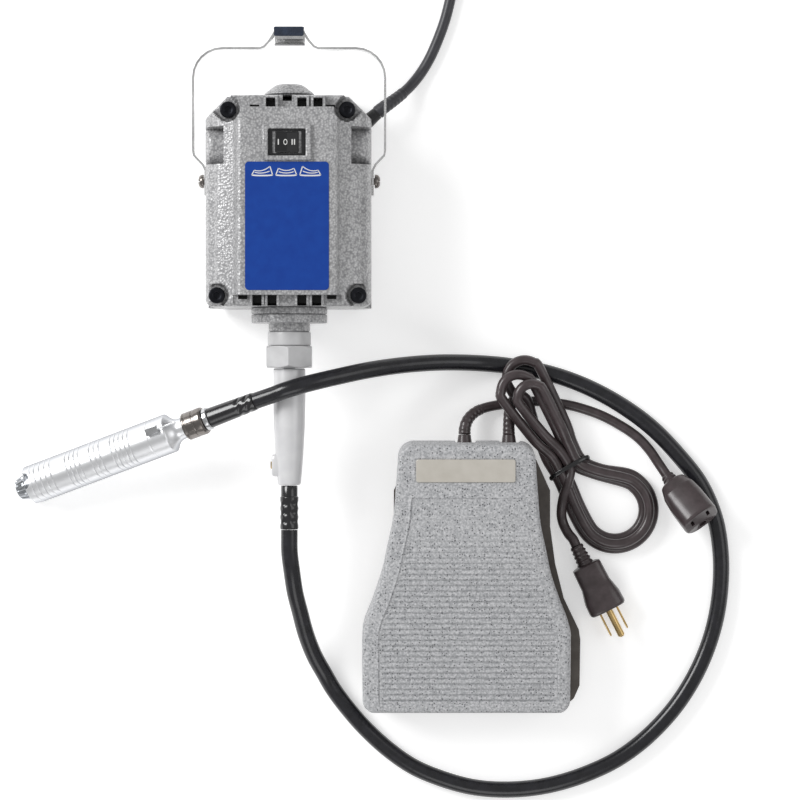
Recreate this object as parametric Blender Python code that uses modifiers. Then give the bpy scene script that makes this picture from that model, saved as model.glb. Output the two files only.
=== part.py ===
"""Rotary tool with flex shaft: hanging motor, sheathed drive shaft, chuck handpiece and foot pedal.

Metres, +Z up. Everything lies on the surface z = 0. +Y runs from the motor's nose to its hook.
The origin is the centre of the footprint of the tool without its cords.
"""

import math

import bmesh
import bpy
from mathutils import Euler, Matrix, Vector

# ---------------------------------------------------------------- driving dimensions
GAP = 0.0003  # clearance between touching pieces

LAYOUT_SHIFT = (0.0007, 0.0011, 0.0)  # puts the origin under the middle of the footprint
MOTOR_AT = (-0.0054, 0.0430, 0.0)  # front face of the housing, on the surface
HANDPIECE_AT = (-0.1862, -0.0797)  # front face of the handpiece
HANDPIECE_HEADING = math.radians(20.4)
HANDPIECE_TILT = math.radians(14.5)
PEDAL_AT = (0.1160, -0.2343, 0.0)  # middle of the heel edge

HOUSING_LENGTH = 0.145
HOUSING_WIDTH = 0.112
HOUSING_DEPTH = 0.092
AXIS_HEIGHT = 0.046
SPLIT_HEIGHT = 0.036
CAVITY_RADIUS = 0.038
END_WALL = 0.007
CORNER_CUT = 0.015
SHAFT_RADIUS = 0.004
BEARING_RADIUS = 0.011
BEARING_WIDTH = 0.007
SPIGOT_RADIUS = 0.020

FLANGE_RADIUS = 0.026
NECK_RADIUS = 0.0148
NUT_ACROSS_FLATS = 0.0308
NOSE_BACK_RADIUS = 0.011
NOSE_TIP_RADIUS = 0.0077
NOSE_LENGTH = 0.080
NOSE_BORE = 0.0050
FERRULE_RADIUS = 0.0063
FERRULE_LENGTH = 0.030

SCREW_HEAD_RADIUS = 0.0055
SCREW_HEAD_HEIGHT = 0.0055
SCREW_SHANK_RADIUS = 0.0025
SCREW_LENGTH = 0.046
BAIL_THICKNESS = 0.0015
BAIL_WIDTH = 0.011
BAIL_PIVOT_Y = 0.0863
PIVOT_HEAD_RADIUS = 0.0048
PIVOT_HEAD_HEIGHT = 0.0040

SWITCH_Y = 0.1093
BEZEL_SIZE = (0.0330, 0.0240, 0.0025)
BEZEL_OPENING = (0.0253, 0.0180)
ROCKER_SIZE = (0.0160, 0.0141)
BRUSH_Y = 0.1115
BRUSH_RADIUS = 0.0060
COMMUTATOR_RADIUS = 0.012
CORE_RADIUS = 0.0205
FIELD_RADIUS = 0.0355

SHEATH_DIAMETER = 0.0115
GRIP_RADIUS = 0.0136
GRIP_LENGTH = 0.1096
GRIP_BORE = 0.0093
TAIL_LENGTH = 0.0109
TAIL_RADIUS = 0.00735
SPINDLE_RADIUS = 0.0040
SPINDLE_BEARING_RADIUS = 0.0090
CHUCK_RADIUS = 0.00875
CHUCK_REACH = 0.0093
COLLAR_RADIUS = 0.0096
COLLAR_LENGTH = 0.0150
SLEEVE_BACK_RADIUS = 0.0070
SLEEVE_LENGTH = 0.0378

PEDAL_SLOPE = math.radians(6.14)
PEDAL_HINGE = (0.0120, 0.0220)  # y and z of the treadle's pin
TREADLE_TOP = 0.0180  # above the pin, square to the tread
TREADLE_DEPTH = 0.0280
TREADLE_WALL = 0.0030
BASE_FLANGE_TOP = 0.0090
PAD_THICKNESS = 0.0030
UPSTAND_TOP = 0.0330
UPSTAND_WALL = 0.0025
UPSTAND_INSET = 0.0056
HINGE_PIN_RADIUS = 0.0025
SPRING_Y = 0.135
SPRING_RADIUS = 0.0070
SPRING_WIRE = 0.0020
SPRING_TURNS = 4
CONTROL_AT = (-0.018, 0.110)
CONTROL_SIZE = (0.046, 0.032, 0.016)
PLUNGER_RADIUS = 0.0040

CORD_DIAMETER = 0.0075  # motor lead
PEDAL_CORD_DIAMETER = 0.0070
COIL_MIDDLE_RADIUS = 0.0380
COIL_HALF_SECTION = 0.0110

# ---------------------------------------------------------------- routes, chosen by hand
SHEATH_ROUTE = [
    (-0.0054, -0.1120, 0.0460),
    (-0.0053, -0.1244, 0.0455),
    (-0.0039, -0.1368, 0.0435),
    (-0.0018, -0.1522, 0.0385),
    (0.0014, -0.1665, 0.0310),
    (0.0052, -0.1824, 0.0220),
    (0.0106, -0.1976, 0.0140),
    (0.0174, -0.2106, 0.0085),
    (0.0243, -0.2227, 0.0062),
    (0.0348, -0.2367, 0.0059),
    (0.0473, -0.2507, 0.0059),
    (0.0627, -0.2646, 0.0059),
    (0.0794, -0.2761, 0.0059),
    (0.0983, -0.2842, 0.0059),
    (0.1192, -0.2901, 0.0059),
    (0.1402, -0.2922, 0.0059),
    (0.1625, -0.2911, 0.0059),
    (0.1834, -0.2869, 0.0059),
    (0.2044, -0.2796, 0.0059),
    (0.2239, -0.2698, 0.0059),
    (0.2428, -0.2555, 0.0059),
    (0.2606, -0.2367, 0.0059),
    (0.2742, -0.2164, 0.0059),
    (0.2843, -0.1948, 0.0059),
    (0.2909, -0.1725, 0.0059),
    (0.2941, -0.1494, 0.0059),
    (0.2941, -0.1264, 0.0059),
    (0.2902, -0.1027, 0.0059),
    (0.2805, -0.0796, 0.0059),
    (0.2658, -0.0601, 0.0059),
    (0.2463, -0.0398, 0.0059),
    (0.2239, -0.0234, 0.0059),
    (0.1995, -0.0105, 0.0059),
    (0.1737, -0.0015, 0.0059),
    (0.1471, 0.0034, 0.0059),
    (0.1226, 0.0055, 0.0092),
    (0.0981, 0.0057, 0.0185),
    (0.0738, 0.0039, 0.0310),
    (0.0500, 0.0004, 0.0450),
    (0.0273, -0.0045, 0.0570),
    (0.0080, -0.0092, 0.0634),
    (-0.0060, -0.0132, 0.0642),
    (-0.0172, -0.0172, 0.0605),
]
MOTOR_CORD_ROUTE = [
    (0.0548, 0.1789, 0.0196),
    (0.0587, 0.1823, 0.0195),
    (0.0648, 0.1870, 0.0160),
    (0.0717, 0.1928, 0.0108),
    (0.0780, 0.1992, 0.0065),
    (0.0843, 0.2072, 0.0042),
    (0.0906, 0.2175, 0.0038),
    (0.0962, 0.2298, 0.0038),
    (0.1018, 0.2452, 0.0038),
    (0.1060, 0.2620, 0.0038),
    (0.1085, 0.2750, 0.0040),
    (0.1098, 0.2860, 0.0041),
    (0.1105, 0.2975, 0.0042),
]
PIGTAIL_ROUTE = [
    (0.1152, -0.0440, 0.0150),
    (0.1155, -0.0395, 0.0146),
    (0.1170, -0.0350, 0.0132),
    (0.1200, -0.0310, 0.0110),
    (0.1245, -0.0278, 0.0084),
    (0.1305, -0.0255, 0.0060),
    (0.1388, -0.0238, 0.0043),
    (0.1486, -0.0226, 0.0037),
    (0.1612, -0.0213, 0.0036),
    (0.1738, -0.0217, 0.0036),
    (0.1912, -0.0245, 0.0036),
    (0.2087, -0.0301, 0.0036),
    (0.2227, -0.0371, 0.0036),
    (0.2353, -0.0455, 0.0036),
    (0.2440, -0.0545, 0.0044),
    (0.2508, -0.0645, 0.0062),
    (0.2561, -0.0727, 0.0093),
]
PLUG_TAIL_ROUTE = [
    (0.1809, -0.0818, 0.0042),
    (0.1818, -0.0885, 0.0038),
    (0.1836, -0.0965, 0.0040),
    (0.1860, -0.1045, 0.0055),
    (0.1885, -0.1115, 0.0080),
    (0.1908, -0.1172, 0.0102),
    (0.1926, -0.1212, 0.0110),
]
HANK_TOP = (0.1531, -0.0064)
HANK_TIE = (0.1886, -0.0676)
HANK_TOP_RADIUS = 0.0150
HANK_TIE_RADIUS = 0.0140
HANK_THICKNESS = 0.0130
HANK_TILT = math.radians(8.0)
LOOP_AT = (0.2205, -0.0970)
LOOP_RADIUS = 0.0236
LOOP_HALF_SECTION = 0.0076
COIL_AT = (0.1600, 0.3200)
PLUG_DIRECTION = math.radians(-63.2)
PLUG_AXIS_HEIGHT = 0.0112
MOTOR_PLUG_AT = (0.2235, 0.3440, 0.0112)
MOTOR_PLUG_HEADING = math.radians(-90.0)
RECEPTACLE_HEADING = math.radians(-54.0)
RECEPTACLE_PITCH = math.radians(28.0)
RECEPTACLE_AT = (0.2565, -0.0733, 0.0096)

# Half-widths of the treadle by distance from its heel edge, the same on both sides.
TREADLE_OUTLINE = [
    (0.0630, 0.0000), (0.0690, 0.0030), (0.0715, 0.0110), (0.0716, 0.0460), (0.0708, 0.0600),
    (0.0645, 0.0770), (0.0582, 0.0960), (0.0545, 0.1130), (0.0505, 0.1320), (0.0488, 0.1500),
    (0.0472, 0.1690), (0.0440, 0.1765), (0.0360, 0.1860),
]
BASE_OUTLINE = [
    (0.0640, 0.0000), (0.0710, 0.0060), (0.0750, 0.0150), (0.0755, 0.0470), (0.0745, 0.0540),
    (0.0640, 0.0760), (0.0580, 0.1000), (0.0545, 0.1260), (0.0545, 0.1510), (0.0450, 0.1720),
    (0.0370, 0.1840),
]
BASE_OFFSET = 0.0045  # the base sits this far right of the treadle

# ---------------------------------------------------------------- scene and materials
for old in list(bpy.data.objects):
    bpy.data.objects.remove(old, do_unlink=True)

PARTS = bpy.data.collections.new("rotary_tool_with_flex_shaft")
CUTTERS = bpy.data.collections.new("cutters")
CUTTERS.hide_render = True
for collection in (PARTS, CUTTERS):
    bpy.context.scene.collection.children.link(collection)


def linear(channel):
    """One sRGB channel, 0 to 1, as linear light."""
    return channel / 12.92 if channel <= 0.04045 else ((channel + 0.055) / 1.055) ** 2.4


def material(name, colour, roughness, metallic=0.0):
    made = bpy.data.materials.new(name)
    made.use_nodes = True
    shader = made.node_tree.nodes["Principled BSDF"]
    channels = [int(colour[i : i + 2], 16) / 255 for i in (0, 2, 4)]
    shader.inputs["Base Color"].default_value = (*map(linear, channels), 1.0)
    shader.inputs["Roughness"].default_value = roughness
    shader.inputs["Metallic"].default_value = metallic
    return made


HAMMERTONE = material("hammertone_grey_paint", "8d9196", 0.4)
PEDAL_PAINT = material("speckled_grey_paint", "b4b6ba", 0.6)
BLACK_OXIDE = material("black_oxide_steel", "232427", 0.4, 0.8)
ZINC = material("bright_zinc_strap", "c3c5c8", 0.3, 1.0)
STEEL = material("bright_steel", "b9bcc0", 0.3, 1.0)
ALUMINIUM = material("polished_aluminium", "d5d7da", 0.2, 1.0)
DARK_NICKEL = material("dark_nickel", "5b5c60", 0.3, 1.0)
LIGHT_NOSE = material("light_grey_casting", "c9cbd0", 0.35, 0.3)
COPPER = material("copper", "b4693f", 0.35, 1.0)
BRASS = material("brass", "b89a5a", 0.3, 1.0)
SILICON_STEEL = material("laminated_steel", "77797c", 0.5, 0.9)
CARBON = material("carbon", "2a2a2b", 0.7)
BLACK_PLASTIC = material("black_plastic", "1b1b1d", 0.4)
BLACK_VINYL = material("black_vinyl", "1f1f22", 0.3)
BROWN_VINYL = material("brown_black_vinyl", "3b3335", 0.4)
DARK_BASE = material("dark_base_plastic", "4a4642", 0.6)
RUBBER = material("black_rubber", "222222", 0.9)
PLATE = material("beige_plate", "b9ada0", 0.4, 0.4)


# ---------------------------------------------------------------- building blocks
def empty(name, at, rotation=(0.0, 0.0, 0.0), parent=None):
    made = bpy.data.objects.new(name, None)
    PARTS.objects.link(made)
    made.parent = parent
    made.location = at
    made.rotation_euler = rotation
    return made


def place(obj, surface, parent, at=(0.0, 0.0, 0.0), rotation=(0.0, 0.0, 0.0)):
    """Puts the object in the model, or among the cutters when it has no surface."""
    if surface is None:
        CUTTERS.objects.link(obj)
        obj.hide_render = True
        obj.display_type = "WIRE"
    else:
        PARTS.objects.link(obj)
        obj.data.materials.append(surface)
    obj.parent = parent
    obj.location = at
    obj.rotation_euler = rotation
    return obj


AXIS_TURN = {"X": (0.0, math.pi / 2, 0.0), "Y": (-math.pi / 2, 0.0, 0.0), "Z": (0.0, 0.0, 0.0)}


def box(name, size, at, surface, parent, rotation=(0.0, 0.0, 0.0)):
    mesh = bpy.data.meshes.new(name)
    shape = bmesh.new()
    bmesh.ops.create_cube(shape, size=1.0, matrix=Matrix.Diagonal((*size, 1.0)))
    shape.to_mesh(mesh)
    shape.free()
    return place(bpy.data.objects.new(name, mesh), surface, parent, at, rotation)


def rod(name, radius, start, end, axis, at, surface, parent, sides=20):
    """A cylinder from start to end along one axis of the parent, centred on at."""
    mesh = bpy.data.meshes.new(name)
    shape = bmesh.new()
    middle = Matrix.Translation((0.0, 0.0, (start + end) / 2))
    bmesh.ops.create_cone(
        shape, cap_ends=True, segments=sides, radius1=radius, radius2=radius,
        depth=end - start, matrix=middle,
    )
    shape.to_mesh(mesh)
    shape.free()
    mesh.shade_smooth()
    mesh.set_sharp_from_angle(angle=math.radians(40))
    return place(bpy.data.objects.new(name, mesh), surface, parent, at, AXIS_TURN[axis])


def turned(name, profile, axis, at, surface, parent, steps=24, ring=False):
    """A turned piece: (radius, height) points down the outer side, then up the bore of a ring."""
    mesh = bpy.data.meshes.new(name)
    points = [(radius, 0.0, height) for radius, height in profile]
    edges = [(i, i + 1) for i in range(len(points) - 1)]
    if ring:
        edges.append((len(points) - 1, 0))
    mesh.from_pydata(points, edges, [])
    made = place(bpy.data.objects.new(name, mesh), surface, parent, at, AXIS_TURN[axis])
    screw = made.modifiers.new("turn", "SCREW")
    screw.steps = screw.render_steps = steps
    screw.use_merge_vertices = True
    screw.merge_threshold = 1e-5
    return made


def tube_ring(outer, bore, low, high):
    """The profile of a plain ring."""
    return [(outer, high), (outer, low), (bore, low), (bore, high)]


def baked(obj):
    """A curve made a mesh with its caps welded, so that it can be cut."""
    graph = bpy.context.evaluated_depsgraph_get()
    graph.update()
    mesh = bpy.data.meshes.new_from_object(obj.evaluated_get(graph))
    shape = bmesh.new()
    shape.from_mesh(mesh)
    bmesh.ops.remove_doubles(shape, verts=shape.verts, dist=1e-6)
    bmesh.ops.recalc_face_normals(shape, faces=shape.faces)
    shape.to_mesh(mesh)
    shape.free()
    name, parent, location, turn = obj.name, obj.parent, obj.location.copy(), obj.rotation_euler.copy()
    owners = list(obj.users_collection)
    hidden = obj.hide_render
    bpy.data.objects.remove(obj, do_unlink=True)
    made = bpy.data.objects.new(name, mesh)
    owners[0].objects.link(made)
    made.parent = parent
    made.location = location
    made.rotation_euler = turn
    if hidden:
        made.hide_render = True
        made.display_type = "WIRE"
    return made


def prism(name, outline, low, high, surface, parent, at=(0.0, 0.0, 0.0), rotation=(0.0, 0.0, 0.0)):
    """A flat outline in the local XY plane with its thickness from low to high along local Z."""
    curve = bpy.data.curves.new(name, "CURVE")
    curve.dimensions = "2D"
    curve.fill_mode = "BOTH"
    curve.extrude = (high - low) / 2
    spline = curve.splines.new("POLY")
    spline.points.add(len(outline) - 1)
    for point, (x, y) in zip(spline.points, outline):
        point.co = (x, y, 0.0, 1.0)
    spline.use_cyclic_u = True
    middle = Vector(at) + Euler(rotation).to_matrix() @ Vector((0.0, 0.0, (low + high) / 2))
    return baked(place(bpy.data.objects.new(name, curve), surface, parent, middle, rotation))


def loft(name, sections, surface, parent, at=(0.0, 0.0, 0.0), sides=24):
    """A closed skin over rounded sections along local X: (x, half width, half height, squareness)."""
    shape = bmesh.new()
    rings = []
    for x, wide, high, power in sections:
        ring = []
        for i in range(sides):
            angle = 2 * math.pi * i / sides
            c, s = math.cos(angle), math.sin(angle)
            y = math.copysign(abs(c) ** (2 / power), c) * wide
            z = math.copysign(abs(s) ** (2 / power), s) * high
            ring.append(shape.verts.new((x, y, z)))
        rings.append(ring)
    for before, after in zip(rings, rings[1:]):
        for i in range(sides):
            j = (i + 1) % sides
            shape.faces.new((before[i], before[j], after[j], after[i]))
    shape.faces.new(rings[0])
    shape.faces.new(rings[-1])
    bmesh.ops.recalc_face_normals(shape, faces=shape.faces)
    mesh = bpy.data.meshes.new(name)
    shape.to_mesh(mesh)
    shape.free()
    mesh.shade_smooth()
    mesh.set_sharp_from_angle(angle=math.radians(40))
    return place(bpy.data.objects.new(name, mesh), surface, parent, at)


END_STEP = 0.0015  # a short first and last step, so that a tube's end faces its fitting squarely


def smooth_path(points, spacing):
    """Points a spacing apart along a Catmull-Rom curve through the route's own points."""
    ends = [Vector(points[0]) * 2 - Vector(points[1]), Vector(points[-1]) * 2 - Vector(points[-2])]
    knots = [ends[0], *map(Vector, points), ends[1]]
    fine = []
    for a, b, c, d in zip(knots, knots[1:], knots[2:], knots[3:]):
        for step in range(16):
            t = step / 16
            fine.append(0.5 * (2 * b + (c - a) * t + (2 * a - 5 * b + 4 * c - d) * t**2
                               + (3 * b - a - 3 * c + d) * t**3))
    fine.append(knots[-2])
    total = sum((q - p).length for p, q in zip(fine, fine[1:]))
    count = max(3, round(total / spacing))
    wanted = [total * i / count for i in range(count + 1)]
    wanted[1:1] = [END_STEP]
    wanted[-1:-1] = [total - END_STEP]
    found, run, index = [], 0.0, 0
    for target in wanted:
        while index < len(fine) - 2 and run + (fine[index + 1] - fine[index]).length < target:
            run += (fine[index + 1] - fine[index]).length
            index += 1
        step = (fine[index + 1] - fine[index]).length
        found.append(fine[index].lerp(fine[index + 1], min(1.0, (target - run) / step)))
    return found


def wire(name, points, diameter, surface, parent, sides_level=2):
    """A round tube with flat ends through the given points."""
    curve = bpy.data.curves.new(name, "CURVE")
    curve.dimensions = "3D"
    curve.bevel_depth = diameter / 2
    curve.bevel_resolution = sides_level
    curve.use_fill_caps = True
    spline = curve.splines.new("POLY")
    spline.points.add(len(points) - 1)
    for point, place_at in zip(spline.points, points):
        point.co = (*place_at, 1.0)
    return place(bpy.data.objects.new(name, curve), surface, parent)


def boolean(obj, other, operation="DIFFERENCE"):
    """Cuts or joins with the EXACT solver. A joined helper is hidden like a cutter."""
    step = obj.modifiers.new(operation.lower(), "BOOLEAN")
    step.operation = operation
    step.solver = "EXACT"
    step.object = other
    return obj


def mirrored(outline):
    """Both sides of an outline given by its right-hand points from bottom to top."""
    return [*outline, *((-x, y) for x, y in reversed(outline))]


def inset(outline, distance):
    """The closed outline moved inwards, each corner where its two moved sides meet."""
    area = sum(x0 * y1 - x1 * y0 for (x0, y0), (x1, y1) in zip(outline, outline[1:] + outline[:1]))
    side = 1.0 if area > 0 else -1.0
    moved = []
    count = len(outline)
    for i in range(count):
        before, here, after = (Vector(outline[(i + k) % count]) for k in (-1, 0, 1))
        first, second = (here - before).normalized(), (after - here).normalized()
        normals = [Vector((-d.y, d.x)) * side for d in (first, second)]
        middle = (normals[0] + normals[1]).normalized()
        moved.append(tuple(here + middle * distance / max(0.3, middle.dot(normals[0]))))
    return moved


# ---------------------------------------------------------------- motor
layout = empty("layout", LAYOUT_SHIFT)
motor = empty("motor_frame", MOTOR_AT, parent=layout)
motor_axis = empty("motor_axis", (0.0, 0.0, AXIS_HEIGHT), parent=motor)
HALF_WIDTH = HOUSING_WIDTH / 2


def housing_half(name, right_side):
    """One casting: its cross-section, given by its right-hand points, carried along Y."""
    section = mirrored(right_side)
    half = prism(
        name, section, -HOUSING_LENGTH, 0.0, HAMMERTONE, motor, rotation=(math.pi / 2, 0.0, 0.0)
    )
    for side in (-1, 1):
        corner = box(
            f"{name}_corner_{side}", (CORNER_CUT * 1.4142, 0.08, 0.3),
            (side * HALF_WIDTH, HOUSING_LENGTH, 0.0), None, motor,
            rotation=(0.0, 0.0, side * math.radians(45)),
        )
        boolean(half, corner)
    return half


def cut_motor_bores(half):
    """The turned hollow for the windings, the spigot hole in front and the bearing seat behind."""
    hollow = rod(f"{half.name}_hollow", CAVITY_RADIUS, END_WALL, HOUSING_LENGTH - END_WALL, "Y",
                 (0.0, 0.0, 0.0), None, motor_axis, 32)
    front = rod(f"{half.name}_front", SPIGOT_RADIUS + GAP, -0.01, END_WALL + 0.01, "Y",
                (0.0, 0.0, 0.0), None, motor_axis, 28)
    rear = rod(f"{half.name}_rear", BEARING_RADIUS + GAP, HOUSING_LENGTH - END_WALL - 0.01,
               HOUSING_LENGTH + 0.01, "Y", (0.0, 0.0, 0.0), None, motor_axis, 20)
    for cutter in (hollow, front, rear):
        boolean(half, cutter)


SCREW_PLACES = [(-0.0402, 0.1330), (0.0402, 0.1330), (-0.0478, 0.0072), (0.0478, 0.0072)]
POCKET_FLOOR = HOUSING_DEPTH - 0.018
SHANK_LOW = POCKET_FLOOR + GAP - SCREW_LENGTH


def housings():
    front = housing_half(
        "housing_front",
        [(HALF_WIDTH, SPLIT_HEIGHT + GAP / 2), (HALF_WIDTH, 0.0680), (0.0530, 0.0745), (0.0490, 0.0775),
         (0.0470, 0.0800), (0.0360, 0.0835), (0.0340, 0.0900), (0.0320, HOUSING_DEPTH)],
    )
    rear = housing_half(
        "housing_rear",
        [(0.0420, 0.0), (0.0500, 0.0030), (0.0545, 0.0100), (HALF_WIDTH, 0.0180),
         (HALF_WIDTH, SPLIT_HEIGHT - GAP / 2)],
    )
    for half in (front, rear):
        cut_motor_bores(half)
    for i, (x, y) in enumerate(SCREW_PLACES):
        pocket = rod(f"pocket_{i}", SCREW_HEAD_RADIUS + 0.0012, POCKET_FLOOR, 0.2, "Z", (x, y, 0.0), None, motor)
        boolean(front, pocket)
        hole = rod(f"screw_hole_{i}", SCREW_SHANK_RADIUS + GAP, SHANK_LOW - GAP, 0.2, "Z",
                   (x, y, 0.0), None, motor, 16)
        boolean(front, hole)
        boolean(rear, hole)
    for side in (-1, 1):
        recess = box(f"brush_recess_{side}", (0.030, 0.0250, 0.10),
                     (side * (HALF_WIDTH + 0.0015), BRUSH_Y, AXIS_HEIGHT + 0.040), None, motor)
        boolean(front, recess)
        bore = rod(f"brush_bore_{side}", BRUSH_RADIUS + GAP, 0.030, 0.070, "X", (0.0, BRUSH_Y, 0.0),
                   None, motor_axis)
        bore.rotation_euler = (0.0, side * math.pi / 2, 0.0)
        boolean(front, bore)
        pivot = rod(f"pivot_hole_{side}", SCREW_SHANK_RADIUS + GAP, HALF_WIDTH - 0.012, 0.070, "X",
                    (0.0, BAIL_PIVOT_Y, 0.0), None, motor_axis, 16)
        pivot.rotation_euler = (0.0, side * math.pi / 2, 0.0)
        boolean(front, pivot)
    window = box("switch_window", (BEZEL_OPENING[0], BEZEL_OPENING[1], 0.06),
                 (0.0, SWITCH_Y, HOUSING_DEPTH), None, motor)
    boolean(front, window)
    for i, x in enumerate((-0.0230, -0.0120, 0.0120, 0.0230)):
        boolean(front, box(f"rear_vent_{i}", (0.0068, 0.0075, 0.05),
                           (x, HOUSING_LENGTH - 0.0120, HOUSING_DEPTH), None, motor))
    for i, x in enumerate((-0.0215, -0.0110, 0.0110, 0.0215)):
        boolean(front, box(f"front_vent_{i}", (0.0068, 0.0080, 0.05),
                           (x, 0.0125, HOUSING_DEPTH), None, motor))
    inlet = rod("cord_inlet", 0.0052 + GAP, 0.030, 0.080, "Z", CORD_INLET, None, motor)
    inlet.rotation_euler = CORD_TURN
    boolean(rear, inlet)


CORD_INLET = (0.0200, 0.1010, 0.0205)
CORD_TURN = Vector((0.0441, 0.0383, -0.0010)).to_track_quat("Z", "Y").to_euler()


def motor_screws():
    for i, (x, y) in enumerate(SCREW_PLACES):
        top = POCKET_FLOOR + GAP + SCREW_HEAD_HEIGHT
        low = POCKET_FLOOR + GAP
        turned(
            f"cap_screw_{i + 1}",
            [(0.0, top - 0.0028), (0.0026, top - 0.0028), (0.0026, top), (SCREW_HEAD_RADIUS, top),
             (SCREW_HEAD_RADIUS, low), (SCREW_SHANK_RADIUS, low), (SCREW_SHANK_RADIUS, SHANK_LOW + 0.001),
             (0.0, SHANK_LOW + 0.001)],
            "Z", (x, y, 0.0), BLACK_OXIDE, motor, 14,
        )
    for side, name in ((-1, "left"), (1, "right")):
        seat = HALF_WIDTH + BAIL_THICKNESS + 3 * GAP
        screw = turned(
            f"pivot_screw_{name}",
            [(0.0, seat + PIVOT_HEAD_HEIGHT), (0.0030, seat + PIVOT_HEAD_HEIGHT - 0.0003),
             (PIVOT_HEAD_RADIUS, seat + 0.0018), (PIVOT_HEAD_RADIUS, seat), (SCREW_SHANK_RADIUS, seat),
             (SCREW_SHANK_RADIUS, HALF_WIDTH - 0.0115), (0.0, HALF_WIDTH - 0.0115)],
            "X", (0.0, BAIL_PIVOT_Y, 0.0), BLACK_OXIDE, motor_axis, 20,
        )
        screw.rotation_euler = (0.0, side * math.pi / 2, 0.0)


def rear_cap():
    """The cap over the rear bearing, which bulges behind the castings."""
    back = HOUSING_LENGTH
    turned(
        "rear_bearing_cap",
        [(0.0, back + 0.0075), (0.0075, back + 0.0075), (0.0170, back + GAP), (0.0100, back + GAP),
         (0.0100, back - 0.0012), (0.0, back - 0.0012)],
        "Y", (0.0, 0.0, 0.0), HAMMERTONE, motor_axis,
    )


def bail():
    """The bent strap, seen on edge, with its raised hook in the middle."""
    foot = HALF_WIDTH + GAP + BAIL_THICKNESS / 2
    right = [(foot, 0.0765), (foot, 0.0935), (0.0590, 0.0975), (0.0650, 0.1038), (0.0656, 0.1070),
             (0.0656, 0.1570)]
    right += [(0.0456 + 0.0200 * math.cos(a), 0.1570 + 0.0200 * math.sin(a))
              for a in (math.radians(15 * k) for k in range(1, 7))]
    right += [(0.0200, 0.1770), (0.0170, 0.1782), (0.0135, 0.1822), (0.0095, 0.1890)]
    path = [*right, *((-x, y) for x, y in reversed(right))]
    outer, inner = [], []
    for i, here in enumerate(path):
        before, after = path[max(0, i - 1)], path[min(len(path) - 1, i + 1)]
        along = (Vector(after) - Vector(before)).normalized()
        side = Vector((along.y, -along.x)) * BAIL_THICKNESS / 2
        outer.append(tuple(Vector(here) + side))
        inner.append(tuple(Vector(here) - side))
    strap = prism("bail", [*outer, *reversed(inner)], -BAIL_WIDTH / 2, BAIL_WIDTH / 2, ZINC, motor_axis)
    for side in (-1, 1):
        hole = rod(f"bail_hole_{side}", SCREW_SHANK_RADIUS + GAP, 0.050, 0.065, "X",
                   (0.0, BAIL_PIVOT_Y, 0.0), None, motor_axis, 16)
        hole.rotation_euler = (0.0, side * math.pi / 2, 0.0)
        boolean(strap, hole)
    hook = [(0.1895, 0.0100), (0.1895, -0.0060), (0.1880, -0.0085), (0.1850, -0.0092), (0.1825, -0.0080),
            (0.1812, -0.0055)]
    hook_out = [(y + (0.0015 if i < 2 else 0.0012 * (y - 0.1845) / 0.0035), z - (0.0 if i < 2 else 0.0011))
                for i, (y, z) in enumerate(hook)]
    tab = prism("bail_hook_tab", [*hook, *reversed(hook_out)], -0.0104, 0.0104, None, motor_axis,
                rotation=(math.pi / 2, 0.0, math.pi / 2))
    boolean(strap, tab, "UNION")


def switch():
    top = HOUSING_DEPTH + GAP
    frame = box("switch_bezel", BEZEL_SIZE, (0.0, SWITCH_Y, top + BEZEL_SIZE[2] / 2), HAMMERTONE, motor)
    boolean(frame, box("bezel_opening", (*BEZEL_OPENING, 0.02), (0.0, SWITCH_Y, top), None, motor))
    low, high = HOUSING_DEPTH - 0.0200, HOUSING_DEPTH + 0.0010
    body = box("switch_body", (BEZEL_OPENING[0] - 2 * GAP, BEZEL_OPENING[1] - 2 * GAP, high - low),
               (0.0, SWITCH_Y, (low + high) / 2), BLACK_PLASTIC, motor)
    boolean(body, box("rocker_well", (ROCKER_SIZE[0] + 0.0034, ROCKER_SIZE[1] + 2 * GAP, 0.02),
                      (0.0, SWITCH_Y, high), None, motor))
    half = ROCKER_SIZE[0] / 2
    prism("rocker", [(-half, 0.0), (-0.0030, -0.0045), (0.0030, -0.0045), (half, 0.0), (half, 0.0036),
                     (0.0, 0.0024), (-half, 0.0036)],
          -ROCKER_SIZE[1] / 2, ROCKER_SIZE[1] / 2, BLACK_PLASTIC, motor,
          at=(0.0, SWITCH_Y, ROCKER_PIVOT), rotation=(math.pi / 2, 0.0, 0.0))


ROCKER_PIVOT = HOUSING_DEPTH - 0.0012


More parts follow.
